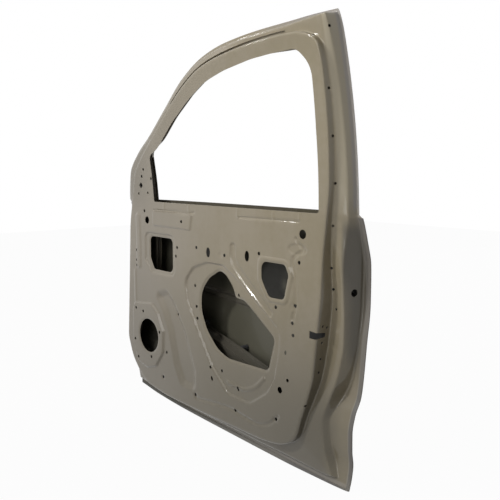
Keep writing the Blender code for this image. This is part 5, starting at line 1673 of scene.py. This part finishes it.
class Finish(Enum):
    """Every finish of the door, with the record's slot that it belongs to."""

    FILM = (Slot.E_COAT, EcoatFinish("e_coat_film", PRIMER, 0.42, 0.66))
    SKIN = (Slot.E_COAT, EcoatFinish("e_coat_skin", PRIMER, 0.42, 0.66, True))
    INSIDE = (Slot.E_COAT, EcoatFinish("e_coat_inside_shade", INSIDE, 0.46, 0.35))
    SHADED = (Slot.E_COAT_DARK, EcoatFinish("e_coat_shaded", SHADED, 0.46, 0.30))
    CAVITY_SHADE = (Slot.E_COAT_DARK, EcoatFinish("e_coat_cavity_shade", CAVITY_SHADE, 0.50, 0.15))
    ZINC = (Slot.ZINC, ZincFinish("zinc_plate", tone(0.46, 0.43, 0.34), tone(0.36, 0.31, 0.20)))
    MASTIC = (Slot.MASTIC, MasticFinish("baked_mastic", tone(0.026, 0.026, 0.028),
                                        tone(0.060, 0.058, 0.054)))

    def put(self, item: bpy.types.Object) -> None:
        """Give an object this finish.

        Args:
            item: the object.
        """
        slot, maker = self.value
        material = bpy.data.materials.get(maker.name) or maker.build()
        item.data.materials.clear()
        item.data.materials.append(material)


@dataclass
class Door:
    """The door shell: fine pressings in front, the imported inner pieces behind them."""

    nodes: dict

    @staticmethod
    def add(item: bpy.types.Object, finish: Finish, *replaced: str) -> None:
        """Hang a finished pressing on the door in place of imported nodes.

        Args:
            item: the pressing.
            finish: its finish.
            replaced: the nodes that it stands for.
        """
        finish.put(item)
        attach(item, "root")
        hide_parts(*replaced)
        log.info("%s: %d faces", item.name, len(item.data.polygons))

    def build(self) -> None:
        """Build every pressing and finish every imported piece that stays."""
        loop = RimLoop()
        self.add(InnerPanel(loop).build(), Finish.FILM, "inner_panel")
        self.add(OuterSkin(loop).build(), Finish.SKIN, "outer_skin")
        self.add(WindowFrame(loop).build(), Finish.FILM, "window_frame_outer")
        self.add(BeltReinforcement(0.0, rear(0.045)).build(), Finish.SHADED, "belt_reinforcement_outer")
        self.add(GlassRun("glass_run_front", FRONT_RUN, 1.0).build(), Finish.SHADED,
                 "front_glass_channel")
        self.add(GlassRun("glass_run_rear", REAR_RUN, -1.0).build(), Finish.SHADED,
                 "rear_glass_channel")
        for name, node in self.nodes.items():
            if node.hide_render:
                continue
            self.finish_of(name).put(node)
            log.info("%s keeps its packed shape", name)

    @staticmethod
    def finish_of(name: str) -> Finish:
        """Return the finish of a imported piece.

        Args:
            name: the piece's name.

        Returns:
            The finish.
        """
        if "nut" in name:
            return Finish.ZINC
        if "pad" in name:
            return Finish.MASTIC
        if name == "header_channel":
            return Finish.FILM
        # Pieces inside the door take the darker copies of the primer, painted shade
        return Finish.INSIDE if name in ("skin_stiffener", "impact_beam") else Finish.CAVITY_SHADE


@dataclass(frozen=True)
class Lamp:
    """A soft square lamp, or a soft-edged spot where it has a cone in degrees."""

    name: str
    place: tuple
    target: tuple
    size: float
    power: float
    cone: float | None = None

    def build(self) -> None:
        """Hang the lamp."""
        light = bpy.data.lights.new(self.name, "SPOT" if self.cone else "AREA")
        light.energy = self.power
        if self.cone:
            light.spot_size = math.radians(self.cone)
            light.spot_blend = 0.9
            light.shadow_soft_size = self.size
        else:
            light.size = self.size
        item = new_object(self.name, light)
        item.location = self.place
        aim = Vector(self.target) - Vector(self.place)
        item.rotation_euler = aim.to_track_quat("-Z", "Y").to_euler()


LAMPS = (
    Lamp("key", (0.12, -2.2, 1.72), (0.52, 0.0, -0.05), 0.34, 41.0),
    Lamp("fill", (1.70, -3.6, 0.90), (0.55, 0.0, -0.10), 2.2, 52.0),
    Lamp("spark", (2.6, -1.0, 2.1), (0.9, 0.0, 0.2), 0.16, 2.4),
    Lamp("edge", (-0.9, -1.2, 1.4), (0.5, 0.0, 0.45), 0.16, 4.0),
    Lamp("back", (0.9, 4.2, 2.2), (0.5, 0.0, 0.0), 5.0, 130.0),
    Lamp("pillar", (2.3, -1.9, 1.10), (0.985, 0.0, 0.42), 0.10, 34.0, 13.0),
)


@dataclass
class Studio:
    """A plain pale floor, soft lamps, a white surround and the photograph's camera."""

    floor_z: float

    def build(self) -> None:
        """Build the studio."""
        self.surround()
        self.floor()
        for lamp in LAMPS:
            lamp.build()
        self.camera()
        bpy.context.scene.view_settings.view_transform = "Standard"

    @staticmethod
    def seen(graph: Graph) -> Value:
        """Return 1 for rays that should meet the white background."""
        path = graph.node("ShaderNodeLightPath")
        rays = [Value(graph, path.outputs[name])
                for name in ("Is Camera Ray", "Is Glossy Ray", "Is Transmission Ray")]
        return graph.math("MINIMUM", rays[0] + rays[1] + rays[2], 1.0)

    def surround(self) -> None:
        """Make a white background with dimmer ambient light."""
        world = bpy.data.worlds.new("studio")
        world.use_nodes = True
        bpy.context.scene.world = world
        graph = Graph(world.node_tree)
        strength = self.seen(graph)*(1.0 - AMBIENT) + AMBIENT
        back = graph.node("ShaderNodeBackground", None,
                          {"Color": tone(1.0, 1.0, 1.0), "Strength": strength})
        graph.node("ShaderNodeOutputWorld", None, {"Surface": back.outputs[0]})

    def floor(self) -> None:
        """Lay a pale floor that shows nearly white and keeps the door's shadow."""
        bpy.ops.object.select_all(action="DESELECT")
        bpy.ops.mesh.primitive_plane_add(size=FLOOR_SIZE, location=(0.5, 0.0, self.floor_z))
        floor = bpy.context.object
        floor.name = "floor"
        material, graph = new_graph("pale_floor")
        dust = graph.noise(3.0, 4.0)
        pale = graph.blend(dust, tone(0.17, 0.17, 0.17), tone(0.20, 0.20, 0.20))
        plain = graph.node("ShaderNodeBsdfPrincipled", None, {"Base Color": pale, "Roughness": 0.9})
        white = graph.node("ShaderNodeEmission", None, {"Color": tone(1.0, 1.0, 1.0), "Strength": 1.0})
        mixed = graph.node("ShaderNodeMixShader", None, {0: self.seen(graph)*FLOOR_WHITE,
                                                         1: plain.outputs[0], 2: white.outputs[0]})
        graph.node("ShaderNodeOutputMaterial", None, {"Surface": mixed.outputs[0]})
        floor.data.materials.append(material)
        floor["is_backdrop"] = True

    @staticmethod
    def camera() -> None:
        """Set the camera at the photograph's place and angle."""
        back = Vector((math.sin(AZIMUTH)*math.cos(ELEVATION), -math.cos(AZIMUTH)*math.cos(ELEVATION),
                       math.sin(ELEVATION)))
        right = Vector((math.cos(AZIMUTH), math.sin(AZIMUTH), 0.0))
        lens = bpy.data.cameras.new("camera")
        lens.lens = LENS
        lens.sensor_width = SENSOR
        lens.sensor_fit = "HORIZONTAL"
        item = new_object("camera", lens)
        turn = Matrix((right, back.cross(right), back)).transposed()
        item.matrix_world = Matrix.Translation(CAMERA_PLACE) @ turn.to_4x4()
        bpy.context.scene.camera = item


def main() -> None:
    """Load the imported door, dress it and light it."""
    logging.basicConfig(level=logging.INFO, format="%(name)s %(message)s")
    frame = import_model()
    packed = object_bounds()
    Door(frame["nodes"]).build()
    Studio(packed[0][2]).build()


if __name__ == "__main__":
    main()
